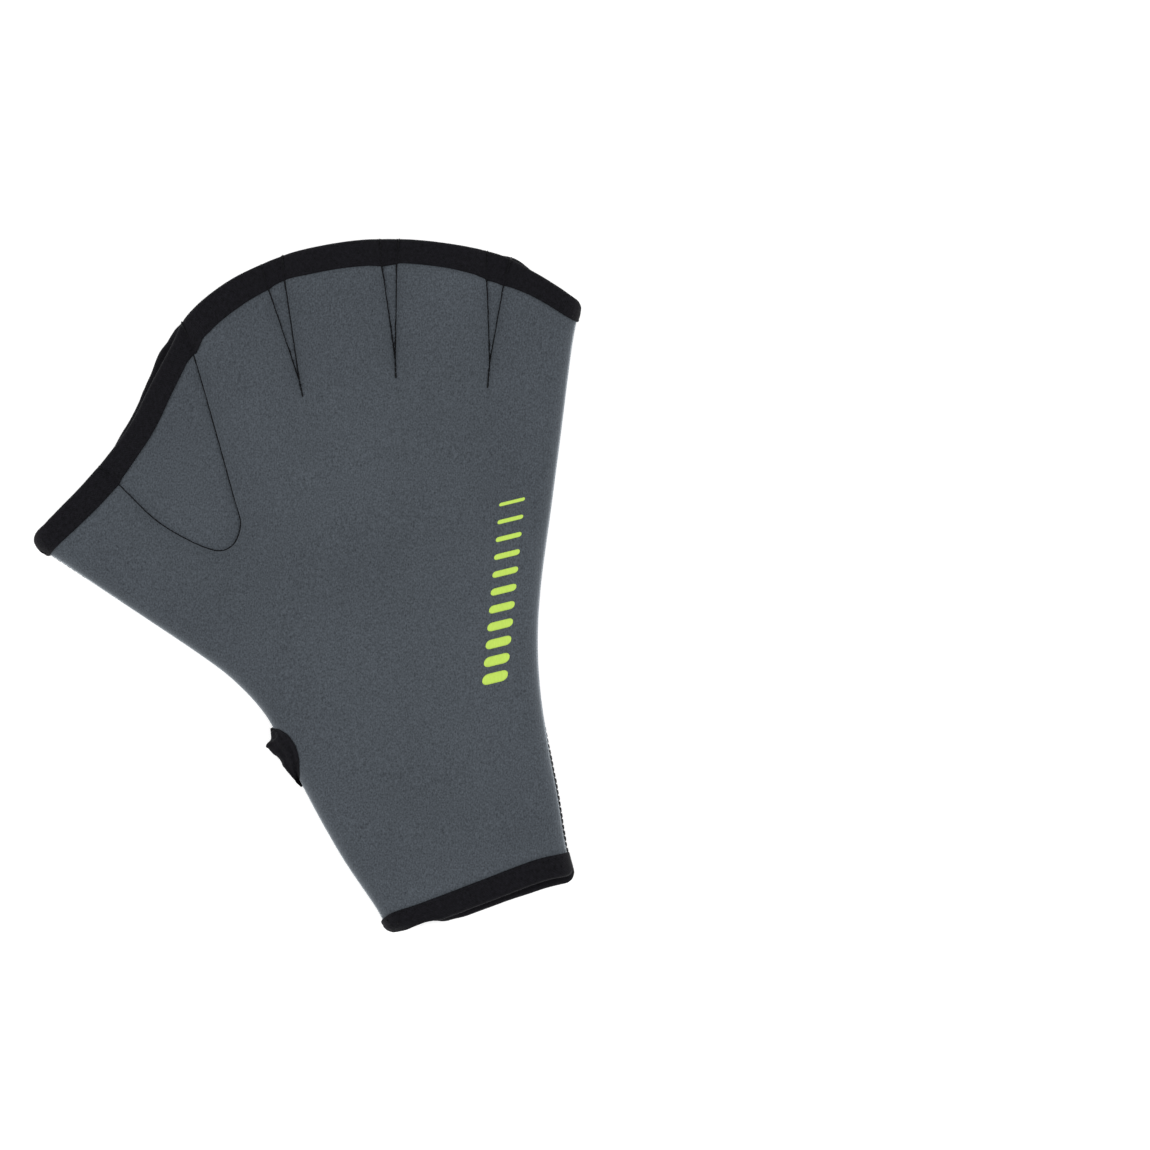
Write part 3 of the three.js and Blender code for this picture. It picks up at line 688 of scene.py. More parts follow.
def tape_sections(opening, side):
    """Closed sections of the tape folded over one panel's cut edge, from its inner edge round and back."""
    start = NOSE_SHARE + opening.retreat[:, None]
    shares = start + TAPE_SHARES * (TAPE_END - start)
    rows = opening.row(shares)
    outside, inside, outward = [
        found.reshape(*shares.shape, 3) for found in faces_of(rows.reshape(-1, 2), side)
    ]
    build = tape_build(shares)[..., None]
    over = outside + outward * build
    under = inside - outward * build
    forward = np.zeros((len(rows), 3))
    forward[:, :2] = unit(opening.row(start[:, 0] - 0.05) - opening.row(start[:, 0] + 0.05))
    centre = (over[:, 0] + under[:, 0]) / 2
    half = (over[:, 0] - under[:, 0]) / 2
    reach = (NOSE_SHARE * opening.width + TAPE_BUILD)[:, None, None]
    turns = np.linspace(0, math.pi, 12)[1:-1]
    nose = (centre[:, None] + half[:, None] * np.cos(turns)[None, :, None]
            + forward[:, None] * reach * np.sin(turns)[None, :, None])
    hidden = [0, 8, 19]
    sunk = 0.05
    return np.concatenate([
        over[:, ::-1], nose, under,
        (inside + outward * sunk)[:, hidden[::-1]],
        (outside - outward * sunk)[:, hidden],
    ], axis=1)


def tape_piece(name, openings, material):
    sections = np.concatenate([
        tape_sections(openings[DORSAL], DORSAL), tape_sections(openings[PALM], PALM)[::-1],
    ])
    along = loop_lengths(sections[:, 25])
    around = loop_lengths(sections[len(sections) // 4])
    return swept_piece(name, sections, along, around, [material])


def held_inside(points):
    """Places past the thumb side brought back onto it."""
    place = thumb.nearest(points)[1]
    on_side = thumb.at(place)
    past = ((points - on_side) * right_of(thumb.direction(place))).sum(1) < 0
    return np.where(past[:, None], on_side, points)


def vent_sections(side):
    """Closed sections of one taped lip of the vent, from the cloth out to its rolled edge and back inside."""
    open_share = np.sqrt(np.clip(1 - (vent_at / 0.505) ** 2, 0, 1))
    slot = VENT_SLOT_HEIGHT / 2 * open_share
    thick = 0.5 + 0.5 * open_share
    out = unit(vent_outer - vent_inner - vent_inward)
    lapped = faces_of(held_inside(vent_inner - out * (0.9 * open_share)[:, None]), side)[0]
    rim, inside, _ = faces_of(held_inside(vent_inner), side)
    top = side * (rim[:, 2] - FOLD_HEIGHT)
    bottom = np.maximum(np.minimum(side * (inside[:, 2] - FOLD_HEIGHT) - 0.3, top - 0.8), 0.05)
    rows = [
        lapped - [0, 0, 0.5 * side],
        lapped + [0, 0, 0.35 * side],
        mixed(lapped, rim, 0.4) + [0, 0, 0.55 * side],
        rim + [0, 0, 0.45 * side],
    ]

    def add(share, height, shift=0.0):
        plan = mixed(rim[:, :2], vent_outer, share) + out * np.reshape(shift, (-1, 1))
        rows.append(np.column_stack([plan, FOLD_HEIGHT + side * height]))

    add(0.1, top - 0.1)
    for share in np.linspace(0.18, 0.88, 9):
        fall = mixed(top, slot + thick, share ** 1.3)
        ridge = math.exp(-((share - 0.4) / 0.2) ** 2) + 0.6 * math.exp(-((share - 0.8) / 0.1) ** 2)
        add(share, fall - 0.2 + 0.8 * ridge * open_share)
    radius = thick / 2
    for turn in np.radians([75, 35, 0, -35, -75]):
        add(1, slot + radius + radius * math.sin(turn), radius * math.cos(turn) - 0.4 * open_share - 0.15)
    for share in (0.7, 0.4, 0.1):
        add(share, mixed(bottom, slot, share))
    add(0, bottom, -0.4)
    return np.stack(rows, axis=1)


def wrinkled(points, depth, size, seed):
    """Points moved by smooth noise, the same on each run."""
    shift = [noise.noise_vector(Vector(point / size) + Vector((seed, 0, 0))) for point in points.reshape(-1, 3)]
    return points + depth * np.array(shift).reshape(points.shape)


def vent_piece(name, material):
    sections = np.concatenate([vent_sections(DORSAL), vent_sections(PALM)[::-1]])
    creased = wrinkled(wrinkled(sections, 0.4, 3.4, 11.0), 0.22, 1.3, 4.0)
    lap_rows = 4
    ease = smooth((0.5 - np.abs(np.r_[vent_at, vent_at[::-1]])) / 0.12)[:, None, None]
    sections[:, lap_rows:] = mixed(sections, creased, ease)[:, lap_rows:]
    sections[..., 2] = np.maximum(sections[..., 2], 0.2)
    along = loop_lengths(sections[:, 8])
    around = loop_lengths(sections[len(sections) // 4])
    return swept_piece(name, sections, along, around, [material])


class Value:
    """A node's output that arithmetic can be written with."""

    def __init__(self, graph, socket):
        self.graph = graph
        self.socket = socket

    def __add__(self, other):
        return self.graph.math("ADD", self, other)

    def __sub__(self, other):
        return self.graph.math("SUBTRACT", self, other)

    def __rsub__(self, other):
        return self.graph.math("SUBTRACT", other, self)

    def __mul__(self, other):
        return self.graph.math("MULTIPLY", self, other)

    def __truediv__(self, other):
        return self.graph.math("DIVIDE", self, other)

    def __pow__(self, other):
        return self.graph.math("POWER", self, other)

    __radd__ = __add__
    __rmul__ = __mul__


class Graph:
    """A node tree that is built by naming each node's type, its settings and its inputs."""

    def __init__(self, tree):
        self.tree = tree

    def node(self, kind, settings=None, inputs=None, output=0):
        made = self.tree.nodes.new(kind)
        for name, value in (settings or {}).items():
            setattr(made, name, value)
        for key, value in (inputs or {}).items():
            if isinstance(value, Value):
                self.tree.links.new(value.socket, made.inputs[key])
            else:
                made.inputs[key].default_value = value
        return Value(self, made.outputs[output]) if len(made.outputs) else made

    def math(self, operation, *values):
        return self.node("ShaderNodeMath", {"operation": operation}, dict(enumerate(values)))

    def mix_colour(self, share, low, high, blend="MIX"):
        settings = {"data_type": "RGBA", "blend_type": blend}
        return self.node("ShaderNodeMix", settings, {0: share, 6: low, 7: high}, output=2)

    def scaled(self, vector, scale):
        return self.node("ShaderNodeVectorMath", {"operation": "MULTIPLY"}, {0: vector, 1: scale})

    def noise(self, vector, scale, detail=2.0, roughness=0.5):
        inputs = {"Vector": vector, "Scale": scale, "Detail": detail, "Roughness": roughness}
        return self.node("ShaderNodeTexNoise", None, inputs)

    def ramp(self, value, low, high):
        inputs = {"Value": value, "From Min": low, "From Max": high}
        return self.node("ShaderNodeMapRange", {"interpolation_type": "SMOOTHSTEP"}, inputs)


def opaque(colour):
    return (*colour, 1.0)


def material_graph(name):
    material = bpy.data.materials.new(name)
    material.use_nodes = True
    material.node_tree.nodes.clear()
    return material, Graph(material.node_tree)


def finish_material(graph, colour, roughness, height, bump, sheen=0.0, specular=0.1):
    """The Principled surface, with its height in millimetres as a bump."""
    lit = graph.node("ShaderNodeBump", None, {"Strength": bump, "Distance": MM, "Height": height})
    surface = graph.node("ShaderNodeBsdfPrincipled", None, {
        "Base Color": colour, "Roughness": roughness, "Normal": lit, "Specular IOR Level": specular,
        "Sheen Weight": sheen, "Sheen Roughness": 0.33, "Sheen Tint": (0.85, 0.93, 1.0, 1.0),
    })
    graph.node("ShaderNodeOutputMaterial", None, {"Surface": surface})


def millimetres(graph, output="Object"):
    coordinates = graph.tree.nodes.new("ShaderNodeTexCoord")
    return graph.scaled(Value(graph, coordinates.outputs[output]), (1000, 1000, 1000))


def knit_material(name, colour, contrast=1.0):
    """Jersey facing of neoprene: fine upright wales broken into short streaks, under a faint broad mottle of
    painted shade.
    """
    material, graph = material_graph(name)
    place = millimetres(graph)
    streaks = graph.noise(graph.scaled(place, (2.4, 1.15, 2.4)), 1.0, 1.0)
    fuzz = graph.noise(place, 1.7, 3.0)
    painted_shade_mottle = graph.noise(place, 0.022, 3.0)
    wobble = graph.noise(graph.scaled(place, (0.2, 0.2, 0.2)), 1.0)
    across = graph.node("ShaderNodeSeparateXYZ", None, {0: place})
    wales = graph.math("SINE", across * (2 * math.pi / 0.62) + wobble * 5.0)
    rows = graph.math("SINE", graph.node("ShaderNodeSeparateXYZ", None, {0: place}, output=1)
                      * (2 * math.pi / 0.48) + wobble * 4.0 + wales * 0.8)
    light = 1.0 + ((streaks - 0.5) * 1.05 + (fuzz - 0.5) * 1.3 + wales * 0.03) * contrast
    # Broad, slow light and dark patches: painted shade in place of the gentle undulation of the flat-lying cloth
    light = light * (1.0 + (painted_shade_mottle - 0.5) * 0.35 * contrast)
    shade = graph.node("ShaderNodeCombineXYZ", None, {0: light, 1: light, 2: light})
    tinted = graph.mix_colour(1.0, opaque(colour), shade, "MULTIPLY")
    height = wales * 0.03 + rows * 0.02 + streaks * 0.12 + fuzz * 0.09
    rough = 0.84 + (fuzz - 0.5) * 0.12
    finish_material(graph, tinted, rough, height, 0.5, sheen=0.8, specular=0.08)
    return material


def tape_material(name, colour):
    """Narrow woven tape: close ribs along its length on its own UV map, with a broken twill over them."""
    material, graph = material_graph(name)
    place = millimetres(graph, "UV")
    along = graph.node("ShaderNodeSeparateXYZ", None, {0: place})
    across = graph.node("ShaderNodeSeparateXYZ", None, {0: place}, output=1)
    soft = graph.noise(place, 0.7, 2.0)
    grain = graph.noise(graph.scaled(place, (1.4, 3.5, 1.0)), 1.0, 2.0)
    ribs = graph.math("SINE", across * (2 * math.pi / 0.5))
    twill = graph.math("SINE", (along + across * 0.6) * (2 * math.pi / 0.75))
    light = 1.0 + (grain - 0.5) * 2.6 + (soft - 0.5) * 1.6 + twill * 0.12
    shade = graph.node("ShaderNodeCombineXYZ", None, {0: light, 1: light, 2: light})
    tinted = graph.mix_colour(1.0, opaque(colour), shade, "MULTIPLY")
    height = ribs * 0.035 + twill * 0.04 + grain * 0.14
    finish_material(graph, tinted, 0.62 + (soft - 0.5) * 0.2, height, 0.6, sheen=0.02, specular=0.05)
    return material


def thread_material(name, colour):
    """Spun polyester thread: a fine twist, duller where the fibres lift."""
    material, graph = material_graph(name)
    place = millimetres(graph)
    twist = graph.noise(graph.scaled(place, (6.0, 6.0, 6.0)), 1.0, 1.0)
    dusty = graph.noise(place, 1.2, 1.0)
    light = 0.8 + twist * 0.4 + (dusty - 0.5) * 0.3
    shade = graph.node("ShaderNodeCombineXYZ", None, {0: light, 1: light, 2: light})
    tinted = graph.mix_colour(1.0, opaque(colour), shade, "MULTIPLY")
    finish_material(graph, tinted, 0.5 + (dusty - 0.5) * 0.2, twist * 0.1, 0.5, specular=0.08)
    return material


def print_material(name, colour):
    """Screen-printed ink that lets the knit show through and has tiny gaps between the wales."""
    material, graph = material_graph(name)
    place = millimetres(graph)
    streaks = graph.noise(graph.scaled(place, (2.3, 0.62, 2.3)), 1.0, 1.0)
    fuzz = graph.noise(place, 3.2, 2.0)
    light = 1.0 + (streaks - 0.5) * 0.22 + (fuzz - 0.5) * 0.12
    shade = graph.node("ShaderNodeCombineXYZ", None, {0: light, 1: light, 2: light})
    tinted = graph.mix_colour(1.0, opaque(colour), shade, "MULTIPLY")
    finish_material(graph, tinted, 0.55 + (fuzz - 0.5) * 0.15, streaks * 0.08 + fuzz * 0.04, 0.4)
    return material


def node_tree(name, sockets):
    tree = bpy.data.node_groups.new(name, "GeometryNodeTree")
    tree.interface.new_socket("Geometry", in_out="INPUT", socket_type="NodeSocketGeometry")
    for label, kind, value in sockets:
        socket = tree.interface.new_socket(label, in_out="INPUT", socket_type=kind)
        if value is not None:
            socket.default_value = value
    tree.interface.new_socket("Geometry", in_out="OUTPUT", socket_type="NodeSocketGeometry")
    graph = Graph(tree)
    group_input = tree.nodes.new("NodeGroupInput")
    named = {socket.name: Value(graph, socket) for socket in group_input.outputs if socket.name}
    return tree, graph, named


def finish_tree(graph, named, spaced, instance, turn):
    """Sets an instance on each point, then makes the result real, smooth and of the given material."""
    size = graph.node("FunctionNodeRandomValue", {"data_type": "FLOAT"}, {
        2: 1.0 - named["Unevenness"], 3: 1.0 + named["Unevenness"], "Seed": named["Seed"],
    }, output=1)
    placed_on = graph.node("GeometryNodeInstanceOnPoints", None, {
        "Points": spaced, "Instance": instance, "Rotation": turn, "Scale": size,
    })
    real = graph.node("GeometryNodeRealizeInstances", None, {"Geometry": placed_on})
    even = graph.node("GeometryNodeSetShadeSmooth", None, {"Geometry": real, "Shade Smooth": True})
    dressed = graph.node("GeometryNodeSetMaterial", None, {"Geometry": even, "Material": named["Material"]})
    graph.node("NodeGroupOutput", None, {"Geometry": dressed})


COMMON_SOCKETS = [
    ("Spacing", "NodeSocketFloat", 0.0016), ("Thread Radius", "NodeSocketFloat", 0.0003),
    ("Unevenness", "NodeSocketFloat", 0.08), ("Seed", "NodeSocketInt", 5),
    ("Material", "NodeSocketMaterial", None),
]


def spaced_points(graph, named):
    line = graph.node("GeometryNodeMeshToCurve", None, {"Mesh": named["Geometry"]})
    spaced = graph.node("GeometryNodeResampleCurve", {"mode": "LENGTH"},
                        {"Curve": line, "Length": named["Spacing"]})
    tangent = graph.node("GeometryNodeInputTangent")
    turn = graph.node("FunctionNodeAlignRotationToVector", {"axis": "X"}, {"Vector": tangent})
    return spaced, turn


def stitch_tree():
    """Stitches end to end along lines: each a plump thread that dips into the cloth at both ends."""
    tree, graph, named = node_tree("Stitch row", [
        ("Stitch Length", "NodeSocketFloat", 0.0015), ("Slant", "NodeSocketFloat", 0.0), *COMMON_SOCKETS,
    ])
    spaced, turn = spaced_points(graph, named)
    ball = graph.node("GeometryNodeMeshUVSphere", None, {"Segments": 8, "Rings": 6, "Radius": 1.0})
    radius = named["Thread Radius"]
    scale = graph.node("ShaderNodeCombineXYZ", None, {0: named["Stitch Length"] * 0.5, 1: radius, 2: radius})
    slant = graph.node("ShaderNodeCombineXYZ", None, {2: named["Slant"]})
    shaped = graph.node("GeometryNodeTransform", None, {"Geometry": ball, "Scale": scale, "Rotation": slant})
    finish_tree(graph, named, spaced, shaped, turn)
    return tree


def overlock_tree():
    """Slanted bundles of two threads that wrap the joint between two panels."""
    tree, graph, named = node_tree("Seam loops", [
        ("Above", "NodeSocketFloat", 0.0009), ("Below", "NodeSocketFloat", 0.0026),
        ("Reach", "NodeSocketFloat", 0.0003), ("Slant", "NodeSocketFloat", 0.0013), *COMMON_SOCKETS,
    ])
    spaced, turn = spaced_points(graph, named)

    def corner(along, out, up):
        return graph.node("ShaderNodeCombineXYZ", None, {0: along, 1: out, 2: up})

    slant, reach, above, below = [named[key] for key in ("Slant", "Reach", "Above", "Below")]
    path = graph.node("GeometryNodeCurvePrimitiveBezierSegment", {"mode": "POSITION"}, {
        "Resolution": 5,
        "Start": corner(slant * -0.5, reach * -1.2, above),
        "Start Handle": corner(slant * -0.3, reach * 1.3, above * 0.9),
        "End Handle": corner(slant * 0.3, reach * 1.3, below * -0.9),
        "End": corner(slant * 0.5, reach * -1.6, below * -1.0),
    })
    ring = graph.node("GeometryNodeCurvePrimitiveCircle", None,
                      {"Resolution": 5, "Radius": named["Thread Radius"]})
    strand = graph.node("GeometryNodeCurveToMesh", None,
                        {"Curve": path, "Profile Curve": ring, "Fill Caps": True})
    beside = graph.node("GeometryNodeTransform", None, {
        "Geometry": strand, "Translation": corner(named["Thread Radius"] * 1.4, 0.0, 0.0),
    })
    bundle = graph.node("GeometryNodeJoinGeometry")
    for part in (strand, beside):
        tree.links.new(part.socket, bundle.socket.node.inputs[0])
    finish_tree(graph, named, spaced, bundle, turn)
    return tree


def thread_piece(name, lines, tree, settings, material):
    """Runs a thread tree along millimetre lines and keeps the result as a plain mesh."""
    points = np.vstack(lines) * MM
    starts = np.cumsum([0, *[len(line) for line in lines]])
    edges = [(i, i + 1) for start, end in zip(starts, starts[1:]) for i in range(start, end - 1)]
    mesh = bpy.data.meshes.new(f"{name}_lines")
    mesh.from_pydata(points.tolist(), edges, [])
    carrier = bpy.data.objects.new(f"{name}_lines", mesh)
    bpy.context.scene.collection.objects.link(carrier)
    modifier = carrier.modifiers.new("Thread", "NODES")
    modifier.node_group = tree
    given = {**settings, "Material": material}
    for item in tree.interface.items_tree:
        if item.in_out == "INPUT" and item.name in given:
            modifier[item.identifier] = given[item.name]
    evaluated = carrier.evaluated_get(bpy.context.evaluated_depsgraph_get())
    made = bpy.data.meshes.new_from_object(evaluated)
    bpy.data.objects.remove(carrier)
    made.name = name
    made.materials.clear()
    made.materials.append(material)
    piece = bpy.data.objects.new(name, made)
    bpy.context.scene.collection.objects.link(piece)
    return piece


def resting_on(names, places, side, lift):
    """Places seen from above, set a little above the outermost of the named pieces on one side."""
    depsgraph = bpy.context.evaluated_depsgraph_get()
    trees = [BVHTree.FromObject(bpy.data.objects[name], depsgraph) for name in names]
    far = 0.1
    toward = Vector((0, 0, -side))
    rested = []
    for x, y in np.asarray(places) * MM:
        hits = [tree.ray_cast(Vector((x, y, far * side)), toward) for tree in trees]
        hits = [hit for hit in hits if hit[0] is not None]
        if hits:
            place, normal, _, _ = min(hits, key=lambda hit: hit[3])
            rested.append(np.array(place) / MM + np.array(normal) * lift)
    rested = np.array(rested)
    rested[:, 2] = np.maximum(rested[:, 2], THREAD_CLEARANCE)
    return rested


def seated(piece, replaced=()):
    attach(piece, "root")
    if replaced:
        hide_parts(*replaced)
    return piece


class GloveFinish(bpy.types.PropertyGroup):
    """Colours and sizes of the glove's cloth, tape, thread and print."""

    knit_colour: FloatVectorProperty(
        name="Knit colour", description="Jersey facing of the neoprene", subtype="COLOR",
        size=3, min=0, max=1, default=(0.0515, 0.0595, 0.0693))
    lining_colour: FloatVectorProperty(
        name="Lining colour", description="Jersey on the inside of the neoprene", subtype="COLOR",
        size=3, min=0, max=1, default=(0.012, 0.012, 0.014))
    tape_colour: FloatVectorProperty(
        name="Tape colour", description="Woven tape round the openings", subtype="COLOR",
        size=3, min=0, max=1, default=(0.0055, 0.0053, 0.007))
    thread_colour: FloatVectorProperty(
        name="Thread colour", description="Sewing thread", subtype="COLOR",
        size=3, min=0, max=1, default=(0.0035, 0.0035, 0.0045))
    print_colour: FloatVectorProperty(
        name="Print colour", description="Ink of the bars on the back", subtype="COLOR",
        size=3, min=0, max=1, default=(0.42, 0.59, 0.094))
    stitch_spacing: FloatProperty(
        name="Stitch spacing", description="Length of one stitch in the web seams", subtype="DISTANCE",
        unit="LENGTH", default=0.0017, min=0.001, max=0.004)
    print_bars: IntProperty(
        name="Print bars", description="Number of bars in the print on the back", default=11, min=1, max=20)


class GloveStage(bpy.types.PropertyGroup):
    """Light, floor and camera of the stage."""

    camera_height: FloatProperty(
        name="Camera height", description="Height of the camera over the floor", subtype="DISTANCE",
        unit="LENGTH", default=1.6, min=0.5, max=5)
    floor_colour: FloatVectorProperty(
        name="Floor colour", description="Plain pale floor", subtype="COLOR",
        size=3, min=0, max=1, default=(0.95, 0.95, 0.95))
    floor_glow: FloatProperty(
        name="Floor glow", description="Light that comes through the table under the glove", default=0.35, min=0)
    side_power: FloatProperty(
        name="Side power", description="Power of each large soft light beside the glove, in watts",
        default=8.5, min=0)
    sky_strength: FloatProperty(
        name="Sky strength", description="Even light from all round", default=0.8, min=0)


class GLOVE_OT_panels(bpy.types.Operator):
    """Make the back and palm panels of knit-faced neoprene"""

    bl_idname = "glove.panels"
    bl_label = "Cloth Panels"

    def execute(self, context):
        finish = context.scene.glove_finish
        knit = knit_material("grey_knit", finish.knit_colour)
        lining = knit_material("black_lining", finish.lining_colour, 0.7)
        for side, name, node in ((DORSAL, "back_cloth", "dorsal_panel"), (PALM, "palm_cloth", "palm_panel")):
            plan, triangles = cloth_plan(side)
            outside, inside, _ = faces_of(plan, side)
            panel = layered_piece(name, triangles, outside, inside, [knit, lining])
            seated(panel, [node])
        return {"FINISHED"}


class GLOVE_OT_bindings(bpy.types.Operator):
    """Fold the black tape round the finger opening and the wrist opening"""

    bl_idname = "glove.bindings"
    bl_label = "Tape Bindings"

    def execute(self, context):
        tape = tape_material("black_tape", context.scene.glove_finish.tape_colour)
        seated(tape_piece("finger_tape", finger_openings, tape), ["finger_binding"])
        seated(tape_piece("wrist_tape", wrist_openings, tape), ["wrist_binding"])
        return {"FINISHED"}


class GLOVE_OT_vent(bpy.types.Operator):
    """Make the two taped lips of the vent in the thumb-side seam"""

    bl_idname = "glove.vent"
    bl_label = "Vent"

    def execute(self, context):
        tape = tape_material("vent_tape", context.scene.glove_finish.tape_colour)
        seated(vent_piece("vent_lips", tape), ["vent_binding"])
        return {"FINISHED"}


class GLOVE_OT_side_seams(bpy.types.Operator):
    """Close the folded sides with a band of thread and the slanted loops over it"""

    bl_idname = "glove.side_seams"
    bl_label = "Side Seams"

    def execute(self, context):
        thread = thread_material("black_thread", context.scene.glove_finish.thread_colour)
        finger, wrist = finger_openings[DORSAL], wrist_openings[DORSAL]
        notch = Route(vent_inner)
        low, high = notch.crossing(thumb)[1], notch.crossing(thumb, -1)[1]
        margin = TAPE_WIDTH - TAPE_BUILD - 1.0
        tree = overlock_tree()
        runs = {
            "little_finger_seam": (
                little, finger.after_place + margin, wrist.before_place - margin, LITTLE_SEAM_SHOWN),
            "thumb_seam_lower": (thumb, wrist.after_place + margin, low, THUMB_SEAM_SHOWN),
            "thumb_seam_upper": (thumb, high, finger.before_place - margin, THUMB_SEAM_SHOWN),
        }
        for node, (route, start, end, shown_table) in runs.items():
            places = np.linspace(start, end, round((end - start) / 1.5))
            shown = smooth(np.interp(places / route.length, *np.array(shown_table, float).T))
            out = -right_of(route.direction(places))
            plan = route.at(places) + out * (SIDE_BULGE + mixed(-0.8, 0.02, shown))[:, None]
            line = np.column_stack([plan, FOLD_HEIGHT - SIDE_ROLL + mixed(-0.45, 0.25, shown)])
            section = np.array([(-0.9, 0.7), (0.02, 0.5), (0.1, -0.6), (-0.1, -1.8), (-1.2, -2.3), (-1.4, 0)])
            across = np.column_stack([out, np.zeros(len(out))])
            sections = line[:, None] + section[:, :1] * across[:, None] + section[:, 1:] * [0, 0, 1]
            seated(capped_piece(f"{node}_band", sections, [thread]), [node])
            settings = {"Spacing": 0.0021, "Thread Radius": 0.0004, "Seed": 3}
            seated(thread_piece(f"{node}_loops", [line], tree, settings, thread))
        return {"FINISHED"}


class GLOVE_OT_web_seams(bpy.types.Operator):
    """Sew the web seams through both panels, with their tails and knots"""

    bl_idname = "glove.web_seams"
    bl_label = "Web Seams"

    def execute(self, context):
        finish = context.scene.glove_finish
        thread = thread_material("seam_thread", finish.thread_colour)
        tree = stitch_tree()
        settings = {
            "Spacing": finish.stitch_spacing, "Stitch Length": finish.stitch_spacing * 1.35,
            "Thread Radius": 0.00034, "Seed": 8,
        }
        fine = {**settings, "Thread Radius": 0.00026}
        sections = {side: tape_sections(opening, side) for side, opening in finger_openings.items()}
        loops = []
        for key in range(len(web_keys)):
            halves = [sections[side][opening.station_at(key)][14:24] for side, opening in finger_openings.items()]
            loop = np.vstack([halves[0], halves[1][::-1]])
            loops.append(loop + unit(loop - loop.mean(0)) * 0.1)
        seated(thread_piece("web_loops", loops, tree, settings, thread))
        for side, name, cloth in ((DORSAL, "back", "back_cloth"), (PALM, "palm", "palm_cloth")):
            opening = finger_openings[side]
            on_tape = []
            on_cloth = []
            for key, (_, line) in enumerate(web_keys):
                station = opening.station_at(key)
                inner_edge = line.nearest(opening.under[station][None])[1][0]
                if line is thumb_web:
                    on_cloth.append(line.between(*sorted((inner_edge, line.length / 2)), 0.8))
                else:
                    on_tape.append(line.between(1.0, inner_edge, 0.8))
                    on_cloth.append(line.between(inner_edge, line.length, 0.8))
            for (first, second, point), tail in zip(FINGER_WEBS, WEB_TAILS):
                apex = placed(point)
                middle = (on_finger_edge(first) + on_finger_edge(second)) / 2
                on_cloth.append(Route([apex, apex + unit(apex - middle) * tail]).between(0, tail, 0.8))
            cloth_lines = [resting_on([cloth], plan, side, 0.14) for plan in on_cloth]
            tape_lines = [resting_on(["finger_tape"], plan, side, -0.08) for plan in on_tape]
            seated(thread_piece(f"web_stitches_{name}", cloth_lines, tree, settings, thread))
            seated(thread_piece(f"web_tape_stitches_{name}", tape_lines, tree, fine, thread))
        return {"FINISHED"}


class GLOVE_OT_tape_stitches(bpy.types.Operator):
    """Cover-stitch the tape in two rows on both sides"""

    bl_idname = "glove.tape_stitches"
    bl_label = "Tape Stitches"

    def execute(self, context):
        thread = thread_material("tape_thread", context.scene.glove_finish.thread_colour)
        tree = stitch_tree()
        settings = {
            "Spacing": 0.0027, "Stitch Length": 0.0012, "Thread Radius": 0.00026, "Slant": 1.45, "Seed": 21,
        }
        for tape, openings in (("finger_tape", finger_openings), ("wrist_tape", wrist_openings)):
            lines = []
            for side, opening in openings.items():
                for row in STITCH_ROWS:
                    clear = opening.retreat < row - 0.2
                    plan = opening.row(row)[clear][4:-4]
                    lines.append(resting_on([tape], plan, side, -0.03))
            seated(thread_piece(f"{tape}_stitches", lines, tree, settings, thread))
        return {"FINISHED"}


class GLOVE_OT_print(bpy.types.Operator):
    """Print a column of slanted bars on the back, thinning toward the fingers"""

    bl_idname = "glove.print"
    bl_label = "Back Print"

    def execute(self, context):
        finish = context.scene.glove_finish
        ink = print_material("lime_print", finish.print_colour)
        low, high = placed((0.842, 0.355)), placed((0.876, 0.633))
        axis = unit(high - low)
        side = right_of(axis)
        count = finish.print_bars
        width, slope, ink_depth = 9.0, 0.35, 0.07
        pitch = np.linalg.norm(high - low) / count
        plans = []
        polygons = []
        total = 0
        for index in range(count):
            half = pitch * mixed(0.62, 0.2, index / max(1, count - 1)) / 2
            middle = low + axis * pitch * (index + 0.5)
            end = half * (1 - np.cos(np.radians([15, 32, 50, 70, 90])))
            across = np.r_[end - width / 2, np.linspace(half - width / 2, width / 2 - half, 7)[1:-1],
                           (width / 2 - end)[::-1]]
            into_end = np.clip((np.abs(across) - (width / 2 - half)) / half, 0, 1)
            u, v = np.meshgrid(across, np.linspace(-1, 1, 5), indexing="ij")
            v = v * (half * np.sqrt(1 - into_end ** 2))[:, None]
            plan = middle + u[..., None] * side + (v + u * slope)[..., None] * axis
            cells = np.arange(15 * 5).reshape(15, 5) + total
            a, b, c, d = [cells[rows, columns].ravel() for rows, columns in (
                (slice(0, -1), slice(0, -1)), (slice(1, None), slice(0, -1)),
                (slice(1, None), slice(1, None)), (slice(0, -1), slice(1, None)))]
            polygons += [np.column_stack([a, b, c]), np.column_stack([a, c, d])]
            plans.append(plan.reshape(-1, 2))
            total += 15 * 5
        plan = np.vstack(plans)
        outside = resting_on(["back_cloth"], plan, DORSAL, ink_depth)
        sunk = outside - [0, 0, 2 * ink_depth]
        seated(layered_piece("back_print", np.vstack(polygons), outside, sunk, [ink]))
        return {"FINISHED"}


